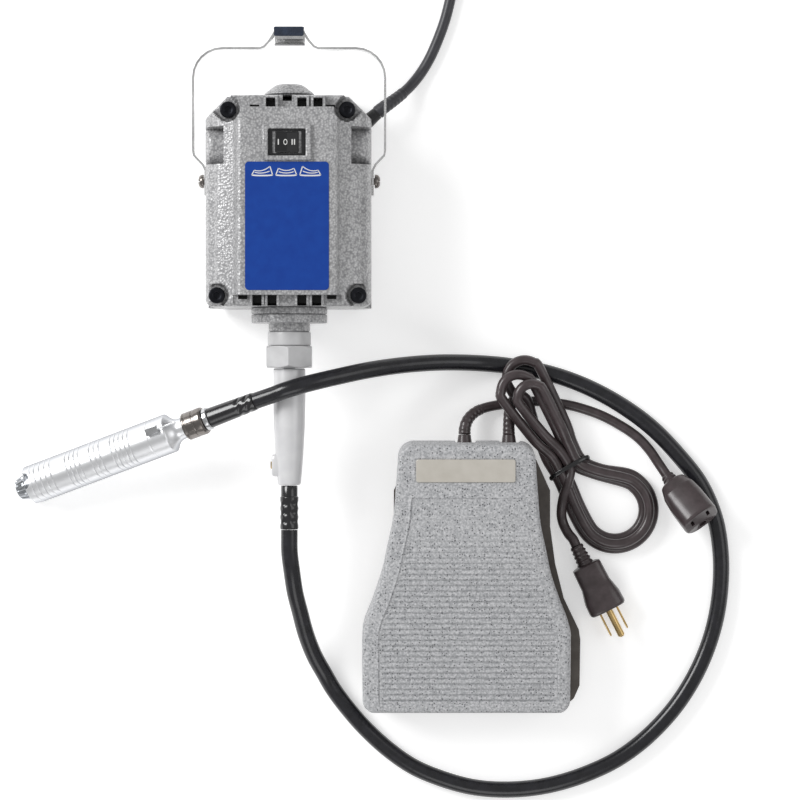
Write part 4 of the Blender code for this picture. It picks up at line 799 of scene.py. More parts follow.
def front_casting():
    """The casting as a slab: heights over a grid squeezed to the outline, and vent floors painted black as
    painted shade for the dark inside of the vents.
    """
    vent_x = [xc + s * w for xc, _, _ in REAR_VENTS + FRONT_VENTS for s in (-1, 1)
              for w in (VENT_HALF, VENT_HALF + FINGER)]
    u = lines(-HALF, HALF, 0.95, *vent_x, -43.0, 43.0, -25.5, 25.5, -36.5, 36.5)
    v = lines(0.0, LONG, 0.95, 133.2, 135.0, 139.4, 7.2, 4.6, 95.8, 121.0, 137.6)
    u, v = np.meshgrid(u, v)
    cut = np.clip(v - (LONG - 15.0), 0.0, 15.0)
    ease = 5.0 - np.sqrt(np.clip(25.0 - np.clip(5.0 - v, 0.0, 5.0) ** 2, 0.0, None))
    half_width = HALF - cut - ease
    inner = 36.5
    beyond = np.clip(np.abs(u) - inner, 0.0, None) * (half_width - inner) / (HALF - inner)
    x = np.sign(u) * (np.minimum(np.abs(u), inner) + beyond)
    top = casting_heights(x, v, half_width)
    bore = np.where(v < 9.0, 20.5, np.where(v > 132.0, 11.3, 37.6))
    hollow = 46.0 + np.sqrt(np.clip(bore**2 - x**2, 0.0, None))
    bottom = np.where(np.abs(x) < bore, np.minimum(hollow, top - 1.5), SPLIT)
    points, faces = plate(x, v, top, bottom)
    piece = mesh_piece("front_casting", placed((points, faces), MOTOR_ORIGIN, scale=MM), HAMMERTONE, "root",
                       sharp=42.0)
    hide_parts("housing_front")
    # Painted shade: the vent floors take the black plastic finish, standing for the dark inside the vent
    # openings.
    piece.data.materials.append(BLACK_PLASTIC)
    middles = np.empty(len(piece.data.polygons) * 3)
    piece.data.polygons.foreach_get("center", middles)
    x, y, z = ((middles.reshape(-1, 3) - MOTOR_ORIGIN) / MM).T
    floor = (z > 71.0) & (z < 73.0)
    dark = (np.abs(x) < 34.0) & floor & ((y > 133.3) | (y < 7.1)) & (y > 0.15) & (y < 141.6)
    piece.data.polygons.foreach_set("material_index", dark.astype(np.int32))
    return piece


casting = front_casting()
print("front casting faces:", len(casting.data.polygons))

# %% [markdown]
# ## The label, the switch marks and the clamp screws
# The label is a thin printed plate with rounded corners, left bare but for three small drawings
# of the rocker's positions. The rocker has the usual marks for off and its two directions.


# %% Small shapes
def rounded_plate(width, height, corner, thick, centre, segments=8, dome=0.0):
    """A rectangle with quarter-circle corners, a thickness and a small chamfer: rings of one outline."""
    angle = np.radians(np.linspace(0, 90, segments))
    signs = [(1, 1, 0), (-1, 1, 90), (-1, -1, 180), (1, -1, 270)]
    outline = np.vstack([
        np.stack([sx * (width / 2 - corner) + corner * np.cos(angle + math.radians(a)),
                  sy * (height / 2 - corner) + corner * np.sin(angle + math.radians(a))], -1)
        for sx, sy, a in signs
    ])
    edge = min(thick * 0.35, 0.3 * MM)
    scale = 1 - 2 * edge / np.array([width, height])
    rings = [(1.0, 0.0), (1.0, thick - edge), (scale, thick), (scale * 0.5, thick + dome)]
    grid = np.stack([np.column_stack([outline * s, np.full(len(outline), z)]) for s, z in rings])
    points, faces = closed_grid(grid)
    return points + np.asarray(centre), faces


def bar(size, centre):
    """A little block with chamfered top edges."""
    return rounded_plate(size[0], size[1], min(size[:2]) * 0.2, size[2], centre, 3)


def ring_plate(outer, inner, thick, centre, squash_x=1.0):
    """A flat ring: outline in, up and back, turned round z."""
    profile = np.array([[outer, 0], [outer, thick], [inner, thick], [inner, 0]])
    angle = np.linspace(0, 2 * math.pi, 32, endpoint=False)
    grid = np.stack([profile[:, :1] * np.cos(angle) * squash_x, profile[:, :1] * np.sin(angle),
                     profile[:, 1:] + 0 * angle], -1)
    rows, columns = grid.shape[:2]
    looped = np.concatenate([grid, grid[:1]])
    return looped.reshape(-1, 3) + np.asarray(centre), grid_faces(rows + 1, columns).tolist()


LABEL_BLUE = surface("printed_blue_label", "0c3d94", 0.45, 0.0, **{"Specular IOR Level": 0.3})
blue, blue_tree, blue_shader = LABEL_BLUE
feed(blue_tree, blue_shader, base_color=ramp(blue_tree, noise(blue_tree, 7.0), (0.3, "083a92"),
                                             (0.7, "0c4099")))
bump(blue_tree, blue_shader, noise(blue_tree, 2.2, 2.0), 0.05, 0.5)
LABEL_AT = np.array([0.1, 53.3, 92.1]) * MM
label_shape = rounded_plate(56.2 * MM, 86.0 * MM, 2.7 * MM, 0.35 * MM, LABEL_AT)
mesh_piece("label", placed(label_shape, MOTOR_ORIGIN), blue, "root")


def pictogram(tilt):
    """A rocker seen from its side: a tray, and a curved top that dips to one side or lies level."""
    t = np.linspace(-1.0, 1.0, 13)
    tray = np.stack([7.0 * t, 0.4 * np.abs(t) ** 3, 0 * t], -1)
    top = np.stack([5.2 * t, 3.4 + 1.5 * t**2 + tilt * 1.3 * t, 0 * t], -1)
    legs = [np.array([[-7.0, 0.4, 0], [-5.2, top[0, 1], 0]]), np.array([[7.0, 0.4, 0], [5.2, top[-1, 1], 0]])]
    low = np.stack([5.0 * t, 1.7 + 0.9 * t**2 + tilt * 0.4 * t, 0 * t], -1)
    return [stroke(line, w) for line, w in ((tray, 0.95), (top, 0.6), (low, 0.6), (legs[0], 0.7),
                                            (legs[1], 0.7))]


STROKE_THICK = 0.06


def stroke(line, width):
    """A flat ribbon along a line: its two edges a width apart, and a small thickness."""
    along = np.gradient(line, axis=0)
    along /= np.linalg.norm(along, axis=1)[:, None]
    side = np.stack([-along[:, 1], along[:, 0], 0 * along[:, 0]], -1) * width / 2
    lift = np.array([0.0, 0.0, STROKE_THICK])
    return closed_grid(np.stack([line + side, line - side, line - side + lift, line + side + lift], 1))


marks = [
    (np.asarray(points) * MM + (LABEL_AT + np.array([x, 33.6, 0.34]) * MM), faces)
    for x, tilt in ((-16.6, 1.0), (-0.5, 0.0), (15.6, -1.0)) for points, faces in pictogram(tilt)
]
mesh_piece("label_drawings", placed(merged(marks), MOTOR_ORIGIN), WHITE_MARK, "root")
ROCKER_TOP, ROCKER_RISE = 93.22, 0.15
mark_z = [(ROCKER_TOP + abs(x) * ROCKER_RISE + lift) * MM
          for x, lift in ((-5.6, 0), (-0.9, 0.25), (3.6, 0), (5.2, 0))]
MARK_SIZE, MARK_Y = (0.75 * MM, 3.8 * MM, 0.12 * MM), 109.3 * MM
rocker_marks = merged([
    bar(MARK_SIZE, (-5.6 * MM, MARK_Y, mark_z[0])),
    ring_plate(1.95 * MM, 1.35 * MM, 0.12 * MM, (-0.9 * MM, MARK_Y, mark_z[1]), 0.68),
    bar(MARK_SIZE, (3.6 * MM, MARK_Y, mark_z[2])),
    bar(MARK_SIZE, (5.2 * MM, MARK_Y, mark_z[3])),
])
mesh_piece("rocker_marks", placed(rocker_marks, MOTOR_ORIGIN), WHITE_MARK, "rocker")


SCREW_SEAT = 74.3  # height of a pocket's floor


def cap_screw(name, x, y):
    """Socket-head cap screw: knurled rim, chamfered top and a hexagonal socket."""
    profile = np.array([(0.01, 0.0), (5.3, 0.0), (5.5, 0.3), (5.5, 4.7), (5.35, 5.1), (4.9, 5.45),
                        (3.1, 5.5), (2.75, 5.3)])
    angle = np.linspace(0, 2 * math.pi, 96, endpoint=False)
    knurl = 1 + 0.012 * np.sin(30 * angle)[None, :] * ((profile[:, :1] > 5.2) & (profile[:, 1:] < 5.2))
    radius = profile[:, :1] * knurl
    hexagon = 2.35 / np.cos((angle + math.pi / 6) % (math.pi / 3) - math.pi / 6)
    radius = np.vstack([radius, hexagon[None], hexagon[None] * 0.98, 0.01 + 0 * angle[None]])
    height = np.concatenate([profile[:, 1], [5.2, 2.6, 2.2]])[:, None] + 0 * angle
    points, faces = closed_grid(np.stack([radius * np.cos(angle), radius * np.sin(angle), height], -1))
    shape = placed((points + [x, y, SCREW_SEAT], faces), MOTOR_ORIGIN, scale=MM)
    piece = mesh_piece(name + "_finished", shape, BLACK_OXIDE, "root")
    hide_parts(name)


for i, (sx, sy, _) in enumerate(SCREWS):
    cap_screw(f"cap_screw_{i + 1}", sx, sy)
print("label, marks and screws ready")

# %% [markdown]
# ## Turned pieces of the motor
# The end bell, bearing cap, nut, nose and crimped sleeve share the shaft's axis, so each is a
# lathe profile. The nut is a lathe too: its radius follows the six flats, and a cone cuts its
# corners into the arcs that every chamfered nut shows.


# %% End bell, nut and nose
def motor_turned(name, profile, material, replaced=(), steps=72, wave=None):
    """A lathe piece on the motor's axis, from a profile in millimetres."""
    shape = turned(np.asarray(profile) * MM, "Y", steps, wave)
    piece = mesh_piece(name, placed(shape, MOTOR_AXIS), material, "root", 40.0)
    if replaced:
        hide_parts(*replaced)
    return piece


motor_turned("end_bell_finished", eased(
    [(0.1, 5.8), (19.9, 5.8), (19.9, -0.3), (26.0, -0.3), (26.0, -4.6), (24.6, -4.7), (24.6, -5.1),
     (26.0, -5.2), (26.0, -10.8), (14.3, -10.9), (14.2, -16.4), (0.1, -16.5)], 4, 0.7), HAMMERTONE,
             ("end_bell",))
motor_turned("neck", eased([(0.1, -16.6), (14.0, -16.6), (14.8, -17.2), (14.8, -25.8), (14.2, -26.0),
                            (0.1, -26.0)], 4, 0.5),
             SATIN_STEEL)
motor_turned("bearing_cap_finished", eased(
    [(0.1, 143.9), (9.9, 143.9), (9.9, 145.2), (17.4, 145.2), (16.4, 146.6), (10.6, 151.2), (8.2, 152.4),
     (0.1, 152.5)], 5, 1.6),
    HAMMERTONE, ("rear_bearing_cap",))


def nut_piece():
    """Hexagon radius a / cos(angle from the flat's middle), held inside a 30 degree cone at each end."""
    angle = np.linspace(0, 2 * math.pi, 180, endpoint=False)
    flat = 15.4 / np.cos((angle - math.pi / 2 + math.pi / 3) % (math.pi / 3) - math.pi / 6)
    y = np.concatenate([[-26.3], np.linspace(-26.3, -28.8, 12), np.linspace(-29.5, -38.0, 6),
                        np.linspace(-38.8, -41.3, 12), [-41.3]])
    cone = 15.0 + 1.75 * np.minimum(-26.3 - y, y + 41.3)
    radius = np.minimum(flat[None, :], cone[:, None])
    radius[0], radius[-1] = 8.0, 8.0
    grid = np.stack([radius * np.cos(angle), y[:, None] + 0 * angle, radius * np.sin(angle)], -1)
    shape = placed(closed_grid(grid * MM), MOTOR_AXIS)
    piece = mesh_piece("hex_nut_finished", shape, SATIN_STEEL, "root", 30.0)
    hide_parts("hex_nut")


nut_piece()
motor_turned("nose_finished", eased(
    [(5.0, -60.0), (5.0, -41.7), (10.4, -41.7), (11.0, -42.6), (11.1, -60.0), (10.7, -81.6), (9.5, -101.6),
     (8.1, -119.0), (7.6, -121.5), (5.2, -121.6), (5.0, -119.0)], 5, 2.2)[::-1], NOSE_ENAMEL,
             ("sheath_nose",))


def nose_boss():
    """A rounded block blended into the nose: a superellipse section carried outwards."""
    angle = np.linspace(0, 2 * math.pi, 48, endpoint=False)
    c, s = np.cos(angle), np.sin(angle)
    section = np.stack([7.7 * np.sign(c) * np.abs(c) ** 0.5, 4.5 * np.sign(s) * np.abs(s) ** 0.5], -1)
    reach = np.array([-4.0, -9.5, -11.0, -11.7, -11.9])
    scale = np.array([1.08, 1.0, 0.97, 0.9, 0.8])
    grid = np.stack([np.column_stack([np.full(48, x), section[:, 0] * k - 107.9, section[:, 1] * k])
                     for x, k in zip(reach, scale)])
    shape = placed(closed_grid(grid * MM), MOTOR_AXIS)
    mesh_piece("set_screw_boss", shape, NOSE_ENAMEL, "root", 50.0)


nose_boss()


def crimped(angle, along):
    """Six shallow flats pressed into three bands of the sleeve."""
    band = sum(np.exp(-(((along / MM + place) / 1.6) ** 2)) for place in (134.5, 140.5, 146.5))
    return 1 - band * (0.05 + 0.05 * np.cos(6 * angle))


sleeve_rows = np.linspace(-129.9, -151.0, 60)
motor_turned("motor_sleeve", [(3.6, -121.9), (5.4, -121.9), (5.7, -122.3), (5.7, -129.2), (6.2, -129.6),
                              *((6.3, y) for y in sleeve_rows), (6.0, -151.8), (3.6, -151.9)], SLEEVE,
             ("motor_ferrule",), 72, crimped)


def pivot_screw(name, side):
    """Pan head with a driver slot: a dome whose middle strip is sunk."""
    profile = eased([(0.01, 0.0), (4.8, 0.0), (4.8, 1.6), (3.9, 3.1), (2.0, 3.9), (0.01, 4.0)], 5, 0.7) * MM
    points, faces = turned(profile, "X", 48)
    seat = (56.0 + 2.4) * MM
    slot_zone = (np.abs(points[:, 1]) < 0.6 * MM) & (points[:, 0] > 2.6 * MM)
    points[slot_zone, 0] -= 1.1 * MM
    points = (points + [seat, 86.3 * MM, 0.0]) * [side, 1.0, 1.0]
    piece = mesh_piece(name + "_finished", placed((points, faces), MOTOR_AXIS), DARK_NICKEL, "root")
    shank = rodlike((side * 45.0, 86.3, 0.0), (side * (seat / MM + 0.1), 86.3, 0.0), 2.4)
    mesh_piece(name + "_shank", placed(shank, MOTOR_AXIS, scale=MM), DARK_NICKEL, "root")
    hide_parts(name)


def rodlike(start, end, radius, sides=20, chamfer=0.25):
    """A short round bar between two points, its end edges chamfered."""
    start, end = np.array(start, float), np.array(end, float)
    length = np.linalg.norm(end - start)
    along = (end - start) / length
    helper = np.array([0.0, 0.0, 1.0]) if abs(along[2]) < 0.9 else np.array([1.0, 0.0, 0.0])
    side = np.cross(along, helper)
    side /= np.linalg.norm(side)
    up = np.cross(side, along)
    where = np.array([0.0, chamfer, length - chamfer, length])
    radii = np.array([radius - chamfer, radius, radius, radius - chamfer])
    angle = np.linspace(0, 2 * math.pi, sides, endpoint=False)
    ring = side[None] * np.cos(angle)[:, None] + up[None] * np.sin(angle)[:, None]
    return closed_grid(start + where[:, None, None] * along + radii[:, None, None] * ring[None])


# A thin blue-black plate on the strap's hook hump: painted reflection of the dark surroundings on the bare
# metal hump.
HOOK_REFLECTION_AT = np.array([-4.7, 232.0, 55.95]) * MM
hook_reflection_patch = rounded_plate(20.4 * MM, 6.4 * MM, 1.2 * MM, 1.3 * MM, HOOK_REFLECTION_AT, 5)
mesh_piece("hook_reflection_patch", hook_reflection_patch, HOOK_REFLECTION_PAINT, "bail")
pivot_screw("pivot_screw_left", -1)
pivot_screw("pivot_screw_right", 1)
print("turned pieces ready")

# %% [markdown]
# ## The handpiece
# A turned aluminium grip, polished and then anodised clear. Groups of fine rings give a hold, the
# front rim is scalloped so that a key reaches the chuck, and the tail runs down in a hollow cone.
# One lathe profile carries it all; the scallops come from moving the front rim back at three
# angles.

# %% Grip
GRIP_RADIUS, GRIP_END, TAIL_END = 13.6, 109.6, 120.5
RING_GROUPS = [(5.4, 4.05, 5), (33.8, 3.4, 4), (52.7, 3.7, 3), (68.9, 3.4, 5)]
RINGS = np.concatenate([start + pitch * np.arange(count) for start, pitch, count in RING_GROUPS])


def grip_radius(x):
    """Outer radius at x: the full radius less a small dip at each ring, then a hollow cone to the tail."""
    dips = np.exp(-(((x[:, None] - RINGS[None, :]) / 0.3) ** 2)).sum(1) * 0.34
    fine = np.exp(-(((x - 96.5) / 0.25) ** 2)) * 0.16
    t = np.clip((x - GRIP_END) / (TAIL_END - 2.5 - GRIP_END), 0.0, 1.0)
    cone = GRIP_RADIUS - 0.5 - (GRIP_RADIUS - 0.5 - 7.35) * (1 - (1 - t) ** 2.2)
    edge = np.clip(x - (GRIP_END - 0.5), 0.0, 0.5)
    return np.where(x < GRIP_END, GRIP_RADIUS - dips - fine - edge, cone)


def grip_piece():
    """The shell from the chuck's bore, over the outside, to the tail; scallops push the front rim back."""
    x = np.concatenate([np.arange(0.0, 100.0, 0.21), np.arange(100.0, TAIL_END, 0.45), [TAIL_END]])
    radius = grip_radius(x)
    radius[:4] -= [0.9, 0.35, 0.1, 0.02]
    angle = np.linspace(0, 2 * math.pi, 96, endpoint=False)
    away = np.abs((angle - 0.35 + math.pi / 3) % (2 * math.pi / 3) - math.pi / 3) * GRIP_RADIUS
    scallop = np.sqrt(np.clip(6.4**2 - away**2, 0.0, None)) * 0.75
    shift = scallop[None, :] * np.clip(1 - x[:, None] / 7.0, 0.0, 1.0)
    outer = np.stack([x[:, None] + shift, radius[:, None] * np.sin(angle), radius[:, None] * np.cos(angle)],
                     -1)
    bore = np.array([(12.2, 0.05), (9.6, 0.3), (9.3, 1.2), (9.3, 17.0), (0.05, 17.2)])[::-1]
    inner = np.stack([bore[:, 1:] + shift[0][None, :] * (bore[:, 1:] < 10.0), bore[:, :1] * np.sin(angle),
                      bore[:, :1] * np.cos(angle)], -1)
    back = np.array([[TAIL_END, 6.0], [TAIL_END - 3.0, 6.0], [TAIL_END - 3.0, 0.05]])
    tail = np.stack([back[:, :1] + 0 * angle, back[:, 1:] * np.sin(angle), back[:, 1:] * np.cos(angle)], -1)
    shape = placed(closed_grid(np.concatenate([inner, outer, tail]) * MM), GRIP_ORIGIN, GRIP_TURN)
    piece = mesh_piece("grip", shape, ALUMINIUM, "root", 50.0)
    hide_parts("handpiece_shell")
    return piece


grip = grip_piece()
print("grip faces:", len(grip.data.polygons))


# %% Chuck, collar, silver ring and sleeve
def grip_turned(name, profile, material, body="root", replaced=(), steps=72, wave=None, sharp=40.0):
    """A lathe piece on the handpiece's axis, from a profile in millimetres."""
    shape = turned(np.asarray(profile) * MM, "X", steps, wave)
    piece = mesh_piece(name, placed(shape, GRIP_ORIGIN, GRIP_TURN), material, body, sharp)
    if replaced:
        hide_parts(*replaced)
    return piece


def chuck_teeth(angle, along):
    """Fourteen bevel teeth round the front half of the sleeve."""
    tooth = np.clip(1.6 * np.cos(14 * angle), -1.0, 1.0)
    zone = step_up(-along / MM, 1.2, 1.2) * (1 - step_up(-along / MM, 7.6, 0.8))
    return 1 - 0.10 * zone * (0.5 - 0.5 * tooth)


chuck_rows = [(8.55 - 0.26 * max(0.0, k - 3.6), -k) for k in np.arange(1.0, 8.9, 0.4)]
chuck_profile = [(5.9, 5.9), (8.4, 5.9), (8.7, 5.5), (8.7, 0.4), (8.4, 0.0), (8.2, -0.3), (8.2, -0.8),
                 *chuck_rows, (6.5, -9.2), (5.9, -9.25), (5.85, -4.0)]
grip_turned("chuck_sleeve_finished", chuck_profile, GROUND_STEEL, "chuck_sleeve",
            ("chuck_sleeve",), 112, chuck_teeth, 30.0)
COLLAR_FROM = TAIL_END + 0.3
COLLAR_PROFILE = np.array([
    (4.1, 0.0), (8.6, 0.0), (9.6, 0.8), (9.6, 2.0), (9.25, 2.2), (9.25, 2.9), (9.6, 3.1), (9.6, 8.0),
    (9.2, 8.2), (9.2, 9.4), (9.6, 9.6), (9.6, 13.6), (9.0, 15.0), (4.1, 15.0),
])
collar_rows = eased(COLLAR_PROFILE + [0.0, COLLAR_FROM], 4, 0.25)


def knurled(angle, along):
    """Fine straight knurling on the collar's middle band."""
    here = along / MM - COLLAR_FROM
    zone = step_up(here, 3.2, 0.3) * (1 - step_up(here, 7.7, 0.3))
    return 1 - 0.012 * zone * (0.5 + 0.5 * np.cos(36 * angle))


grip_turned("collar_finished", collar_rows, DARK_NICKEL, "root", ("quick_collar",), 144,
            knurled)
RING_FROM = COLLAR_FROM + 15.3
RING_PROFILE = np.array([(4.0, 0.0), (7.7, 0.0), (7.9, 0.4), (7.9, 3.2), (7.2, 3.6), (4.0, 3.6)])
grip_turned("silver_ring", eased(RING_PROFILE + [0.0, RING_FROM], 4, 0.3), SILVER)


def sleeve_crimps(angle, along):
    """Two bands of crimp marks near the sleeve's far end, and slight flats along it."""
    here = along / MM - RING_FROM
    band = np.exp(-(((here - 27.0) / 1.8) ** 2)) + np.exp(-(((here - 33.0) / 1.6) ** 2))
    return 1 - 0.10 * band * (0.5 + 0.5 * np.cos(6 * angle + here)) - 0.012 * np.cos(6 * angle)


sleeve_profile = [(3.2, RING_FROM + 3.7), (6.8, RING_FROM + 3.7), (7.0, RING_FROM + 4.1),
                  *((7.0 - 0.02 * k, RING_FROM + 4.4 + k) for k in np.arange(0.0, 32.5, 0.5)),
                  (6.1, RING_FROM + 37.5), (3.2, RING_FROM + 37.7)]
grip_turned("handpiece_sleeve", sleeve_profile, SLEEVE, "root", ("handpiece_ferrule",), 72,
            sleeve_crimps)
print("handpiece fittings ready")

# %% [markdown]
# ## The foot pedal
# The treadle is a pressure-cast cover. Its outline is given by its half width at each distance
# from the heel, and its top is a height over that: rounded edges, a raised line round a panel,
# ribs 3.8 mm apart that fade towards the toe, and a shallow frame for the nameplate.

# %% Treadle
TREADLE_OUTLINE = np.array([
    (71.2, -2.0), (71.4, 11.0), (71.6, 46.0), (70.8, 60.0), (64.5, 77.0), (58.2, 96.0), (54.5, 113.0),
    (50.5, 132.0), (48.8, 150.0), (47.4, 169.0), (46.2, 188.0),
])
TREADLE_TOP, TREADLE_DEEP, TREADLE_WALL, TOE = 18.0, 28.0, 3.0, 186.0
RIB_PITCH = 3.8
PANEL_LEFT, PANEL_RIGHT, PANEL_LOW, PANEL_HIGH = 11.6, 8.6, 6.5, 149.4
TOE_CORNER, HEEL_CORNER = 10.0, 8.5
NAMEPLATE_AT = np.array([-0.8, 168.6])
NAMEPLATE_SIZE = np.array([67.7, 15.7])


def treadle_width(y):
    """Half width at y, from a smooth curve through the outline's points."""
    curve = smooth_line(np.column_stack([TREADLE_OUTLINE, np.zeros(len(TREADLE_OUTLINE))]), 0.5)
    corners = rounding(TOE - y, TOE_CORNER) + rounding(y, HEEL_CORNER)
    return np.interp(y, curve[:, 1], curve[:, 0]) - corners


def ridge(distance, half_width, height):
    """A rounded line raised where the distance from it is under its half width."""
    t = np.clip(1 - (distance / half_width) ** 2, 0.0, 1.0)
    return height * t


def treadle_heights(x, y, width, slope):
    """The tread's top: rounded rim, a line round the panel, fading ribs, and a frame round the nameplate."""
    side = np.abs(x)
    rim = np.minimum.reduce([(width - side) * slope, y, TOE - y])
    z = TREADLE_TOP - rounding(rim, 3.6)
    margin = np.where(x < 0, PANEL_LEFT, PANEL_RIGHT)
    panel = np.minimum.reduce([width - margin - side, y - PANEL_LOW, PANEL_HIGH - y])
    groove = 0.5 * np.exp(-(((panel - 0.3) / 0.45) ** 2))
    z = z - 0.35 * step_up(panel, 0.5, 0.6) + ridge(panel + 0.9, 0.8, 0.4) - groove
    depth = np.interp(y, [0.0, 95.0, 125.0, 146.0], [1.35, 1.2, 0.5, 0.1])
    phase = (y - PANEL_LOW - 2.4 + RIB_PITCH / 2) % RIB_PITCH - RIB_PITCH / 2
    z = z - depth * np.exp(-((phase / 0.85) ** 2)) * step_up(panel, 1.4, 0.8)
    frame_x, frame_y = NAMEPLATE_SIZE / 2 + 1.3
    outside = np.maximum(np.abs(x - NAMEPLATE_AT[0]) - frame_x, np.abs(y - NAMEPLATE_AT[1]) - frame_y)
    return z + ridge(outside, 0.8, 0.35)


def treadle_piece():
    """The cover as a slab: close rows across the ribs, and columns that follow the rim and the panel."""
    ribs = np.arange(PANEL_LOW, 148.0, 0.34)
    heel, toe = lines(0.0, PANEL_LOW, 0.6, TREADLE_WALL), lines(148.0, TOE, 0.7, TOE - TREADLE_WALL)
    y = np.unique(np.concatenate([ribs, heel, toe]))
    y = y[np.concatenate([[True], np.diff(y) > 0.04])]
    width = treadle_width(y)[:, None]
    slope = np.cos(np.arctan(np.gradient(treadle_width(np.clip(y, 12.0, TOE - 12.0)), y)))[:, None]
    wall = np.array([0.0, 0.35, 0.8, 1.4, 2.2, 2.94, 3.1, 5.0, 7.0, 7.9, 8.3, 8.8, 9.3, 10.0, 10.9, 11.3,
                     11.8, 12.3, 13.0])
    middle = np.linspace(-1.0, 1.0, 50)[None, 1:-1] * (width - 13.0)
    x = np.hstack([-width + wall, middle, (width - wall)[:, ::-1]])
    y = y[:, None] + 0 * x
    top = treadle_heights(x, y, width + 0 * x, slope)
    border = (np.abs(x) > width - TREADLE_WALL + 0.001) | (y < TREADLE_WALL) | (y > TOE - TREADLE_WALL)
    low = TREADLE_TOP - TREADLE_DEEP
    notch = (y > TOE - TREADLE_WALL - 0.1) & ((np.abs(x + 0.8) < 7.0) | (np.abs(x - 30.0) < 7.0))
    bottom = np.where(border, np.where(notch, low + 11.0, low), TREADLE_TOP - TREADLE_WALL - 0.9)
    points, faces = plate(x, y - PEDAL_PIN[1] / MM, top, bottom)
    shape = placed((points, faces), TREADLE_ORIGIN, TREADLE_TURN, MM)
    piece = mesh_piece("treadle_cover", shape, SPECKLED, "treadle", 45.0)
    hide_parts("treadle")
    return piece


treadle = treadle_piece()
plate_at = np.array([NAMEPLATE_AT[0] * MM, NAMEPLATE_AT[1] * MM - PEDAL_PIN[1], (TREADLE_TOP + 0.25) * MM])
plate_shape = rounded_plate(*(NAMEPLATE_SIZE * MM), 1.6 * MM, 0.9 * MM, plate_at, 8, 0.1 * MM)
nameplate = mesh_piece("nameplate_finished", placed(plate_shape, TREADLE_ORIGIN, TREADLE_TURN), SATIN_PLATE,
                       "treadle")
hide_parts("nameplate")
print("treadle faces:", len(treadle.data.polygons))

# %% [markdown]
# ## Plugs, receptacle and tie
# The moulded ends are rounded boxes that change size along their length: each section is a
# superellipse, between a circle at the cord and a soft rectangle at the pins. Rings on the
# relief let it bend.


# %% Moulded ends
def moulded_body(sections, rows, ribs):
    """Superellipse sections (x, half width, half height, power) joined along x, with rings on the relief."""
    table = np.asarray(sections, float)
    x = np.unique(np.concatenate([np.linspace(table[0, 0], table[-1, 0], rows), table[:, 0]]))
    wide, high, power = (np.interp(x, table[:, 0], table[:, k]) for k in (1, 2, 3))
    start, end, pitch, depth = ribs
    zone = (x > start) & (x < end)
    wave = depth * zone * (0.5 - 0.5 * np.cos(2 * math.pi * (x - start) / pitch))
    wide, high = wide - wave, high - wave
    angle = np.linspace(0, 2 * math.pi, 64, endpoint=False)
    c, s = np.cos(angle)[None], np.sin(angle)[None]
    e = 2 / power[:, None]
    y = np.sign(c) * np.abs(c) ** e * wide[:, None]
    z = np.sign(s) * np.abs(s) ** e * high[:, None]
    return closed_grid(np.stack([x[:, None] + 0 * y, y, z], -1) * MM)


def blade(x0, x1, y, z):
    """A flat pin with rounded sides and a chamfered tip."""
    x = np.array([x0, x1 - 1.6, x1 - 0.5, x1])
    shrink = np.array([1.0, 1.0, 0.75, 0.45])
    angle = np.linspace(0, 2 * math.pi, 32, endpoint=False)
    c, s = np.cos(angle), np.sin(angle)
    section = np.stack([0.75 * np.sign(c) * np.abs(c) ** 0.35, 3.15 * np.sign(s) * np.abs(s) ** 0.35], -1)
    grid = np.stack([np.column_stack([np.full(32, a), section[:, 0] * k + y, section[:, 1] * k + z])
                     for a, k in zip(x, shrink)])
    return closed_grid(grid * MM)


PIN_Y = 6.35  # half the spacing of the flat pins
PLUG_SECTIONS = [(0.0, 4.3, 4.3, 2.0), (1.0, 4.8, 4.8, 2.0), (14.0, 6.0, 6.0, 2.0), (14.6, 8.8, 8.0, 3.0),
                 (15.4, 10.2, 9.1, 4.0), (17.0, 10.4, 9.3, 4.0), (30.0, 10.7, 9.9, 4.0),
                 (35.0, 11.9, 10.4, 3.6), (40.0, 13.1, 10.9, 3.2), (47.5, 13.3, 11.0, 3.4),
                 (48.8, 13.0, 10.7, 3.4), (49.7, 12.0, 9.8, 3.4)]


def plug(name, node, at, heading, material):
    """A three-pin plug: moulded body with finger hollows, two flat pins and a round one."""
    turn = turn_matrix(0.0, 0.0, heading)
    points, faces = moulded_body(PLUG_SECTIONS, 90, (1.5, 13.5, 3.0, 0.8))
    hollow = np.exp(-(((points[:, 0] / MM - 27.0) / 7.0) ** 2)) * (np.abs(points[:, 2]) > 5 * MM)
    points[:, 2] *= 1 - 0.10 * hollow
    body = mesh_piece(name, placed((points, faces), at, turn), material, "root", 40.0)
    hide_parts(node)
    earth = placed(rodlike((46.0, 0.0, 6.5), (70.0, 0.0, 6.5), 2.4, 24, 1.1), (0.0, 0.0, 0.0), scale=MM)
    pins = merged([blade(46.0, 67.5, -PIN_Y, -4.2), blade(46.0, 67.5, PIN_Y, -4.2), earth])
    metal_pins = mesh_piece(name + "_pins", placed(pins, at, turn), BRASS, "root", 35.0)
    return [body, metal_pins]


supply_plug = plug("supply_plug_body", "supply_plug", SUPPLY_PLUG_AT + SHIFT, math.radians(-63.2),
                   BROWN_VINYL)
motor_plug = plug("motor_plug_body", "motor_plug", MOTOR_PLUG_AT + SHIFT, math.radians(-90.0), CORD_VINYL)


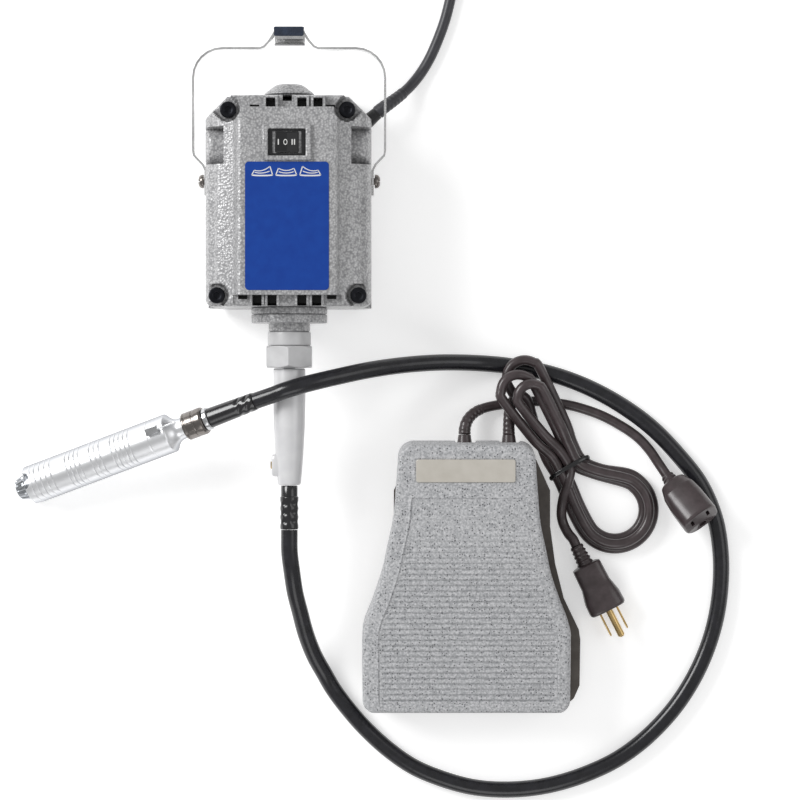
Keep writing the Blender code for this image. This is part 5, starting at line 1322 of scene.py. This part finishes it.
def cut_with(piece, cutters):
    """Cuts closed shapes out of a piece with the exact solver, and keeps the result as its mesh."""
    for shape in cutters:
        mesh = bpy.data.meshes.new("cutter")
        mesh.from_pydata(np.asarray(shape[0]).tolist(), [], [list(face) for face in shape[1]])
        shell = bmesh.new()
        shell.from_mesh(mesh)
        bmesh.ops.recalc_face_normals(shell, faces=shell.faces)
        shell.to_mesh(mesh)
        shell.free()
        tool = bpy.data.objects.new("cutter", mesh)
        scene.collection.objects.link(tool)
        step = piece.modifiers.new("cut", "BOOLEAN")
        step.operation, step.solver, step.object = "DIFFERENCE", "EXACT", tool
        graph = bpy.context.evaluated_depsgraph_get()
        graph.update()
        finished = bpy.data.meshes.new_from_object(piece.evaluated_get(graph))
        piece.modifiers.clear()
        piece.data = finished
        bpy.data.objects.remove(tool, do_unlink=True)
    piece.data.shade_smooth()
    piece.data.set_sharp_from_angle(angle=math.radians(35))


def receptacle_piece():
    """The same kind of body with two slots and a round hole, tipped up at its open end."""
    turn = turn_matrix(0.0, -math.radians(28.0), math.radians(-54.0))
    at = np.array([0.2565, -0.0733, 0.0096]) + SHIFT
    sections = [(0.0, 4.3, 4.3, 2.0), (0.8, 4.7, 4.7, 2.0), (6.0, 5.7, 5.7, 2.0), (6.8, 8.2, 7.6, 2.6),
                (8.2, 9.6, 9.0, 3.0), (16.0, 12.3, 11.3, 3.4), (24.0, 13.2, 12.0, 3.2),
                (40.0, 13.5, 12.2, 3.0), (41.4, 13.2, 11.9, 3.0), (42.0, 12.4, 11.1, 3.0)]
    points, faces = moulded_body(sections, 80, (0.8, 5.6, 2.4, 0.5))
    body = mesh_piece("receptacle_body", placed((points, faces), at, turn), BROWN_VINYL, "root",
                      40.0)
    slots = [bar((16.0 * MM, 2.3 * MM, 7.2 * MM), (38.0 * MM, side * PIN_Y * MM, 0.4 * MM))
             for side in (-1, 1)]
    hole = rodlike((28.0, 0.0, -6.2), (46.0, 0.0, -6.2), 2.6, 24, 0.05)
    cut_with(body, [placed(shape, at, turn) for shape in [*slots, (hole[0] * MM, hole[1])]])
    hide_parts("receptacle")
    return body


receptacle = receptacle_piece()


def wire_tie():
    """A flat tie: one loop round the bundle, an oval in the plane across the hank."""
    angle = np.linspace(0, 2 * math.pi, 60)
    across = 15.6 * np.sign(np.cos(angle)) * np.abs(np.cos(angle)) ** 0.8
    height = 7.6 + 7.2 * np.sign(np.sin(angle)) * np.abs(np.sin(angle)) ** 0.8
    lengthwise = 1.2 * np.sin(angle)
    flat = np.stack([lengthwise, across, height], -1) * MM
    loop = np.column_stack([TIE_AT + flat[:, :1] * HANK_U + flat[:, 1:2] * HANK_V, flat[:, 2]]) + SHIFT
    along = np.gradient(loop, axis=0)
    along /= np.linalg.norm(along, axis=1)[:, None]
    wide = np.array([HANK_U[0], HANK_U[1], 0.0])
    thick = np.cross(along, wide)
    ring = np.linspace(0, 2 * math.pi, 12, endpoint=False)[None, :, None]
    grid = loop[:, None] + 1.5 * MM * wide * np.cos(ring) + 0.6 * MM * thick[:, None] * np.sin(ring)
    return closed_grid(grid)


tie = mesh_piece("wire_tie", wire_tie(), SLEEVE, "root", 60.0)
print("moulded ends ready")

# %% [markdown]
# ## Strain reliefs
# Each mains cord leaves through a tapered relief.


# %% Strain reliefs
def relief(name, line, start_radius, end_radius, length, material):
    """A tapered sleeve along a cord's first stretch, with shallow rings: a blend of two radii less a wave."""
    count = max(8, round(length / 0.0004))
    path = even(line[: round(length / 0.0015) + 2], length / count)
    t = np.linspace(0.0, 1.0, len(path))
    wave = 0.22 * MM * (0.5 - 0.5 * np.cos(2 * math.pi * t * length / (3.2 * MM))) * (t > 0.08) * (t < 0.94)
    radius = start_radius * (1 - t) + end_radius * t - wave
    radius[0], radius[-1] = radius[0] - 0.3 * MM, radius[-1] - 0.3 * MM
    return mesh_piece(name, tube(path, radius, 32), material, "root", 40.0)


motor_relief = relief("motor_cord_relief", motor_cord_line, 4.9 * MM, 4.1 * MM, 0.024, CORD_VINYL)
lead_relief = relief("pedal_lead_relief", lead_line, 4.3 * MM, 3.8 * MM, 0.022, BROWN_VINYL)
supply_relief = relief("supply_cord_relief", supply_line, 4.3 * MM, 3.8 * MM, 0.022, BROWN_VINYL)

# %% [markdown]
# ## The pedal's spring
# The spring stands between the base and the tread. It can't turn with the tread, so it stays with the base.

# %% Return spring
spring_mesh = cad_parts["return_spring"].data.copy()
spring_mesh.materials.clear()
spring_mesh.materials.append(SPRING_STEEL)
spring = bpy.data.objects.new("return_spring_finished", spring_mesh)
scene.collection.objects.link(spring)
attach(spring, "root")
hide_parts("return_spring")
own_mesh(spring)

# %% [markdown]
# ## The parts that keep their own solids
# What is inside the castings, and small plain pieces, stay as packed and take a finish here.

# %% Finishes for the remaining parts
KEPT = {
    GROUND_STEEL: ["armature_shaft", "front_bearing", "rear_bearing", "spindle", "spindle_bearing_front",
                   "spindle_bearing_rear", "drive_key", "hinge_pin", "chuck_jaw_1", "chuck_jaw_2",
                   "chuck_jaw_3"],
    LAMINATED: ["armature_core", "field_stack"],
    COPPER: ["commutator"],
    CARBON: ["carbon_brush_left", "carbon_brush_right"],
    BLACK_PLASTIC: ["brush_holder_left", "brush_holder_right", "motor_cord_gland", "control_plunger"],
    SILVER: ["cooling_fan"],
    BRASS: ["nose_set_screw"],
}
for finish, names in KEPT.items():
    for node in names:
        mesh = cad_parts[node].data
        mesh.materials.clear()
        mesh.materials.append(finish)
print("kept parts:", sum(len(names) for names in KEPT.values()))
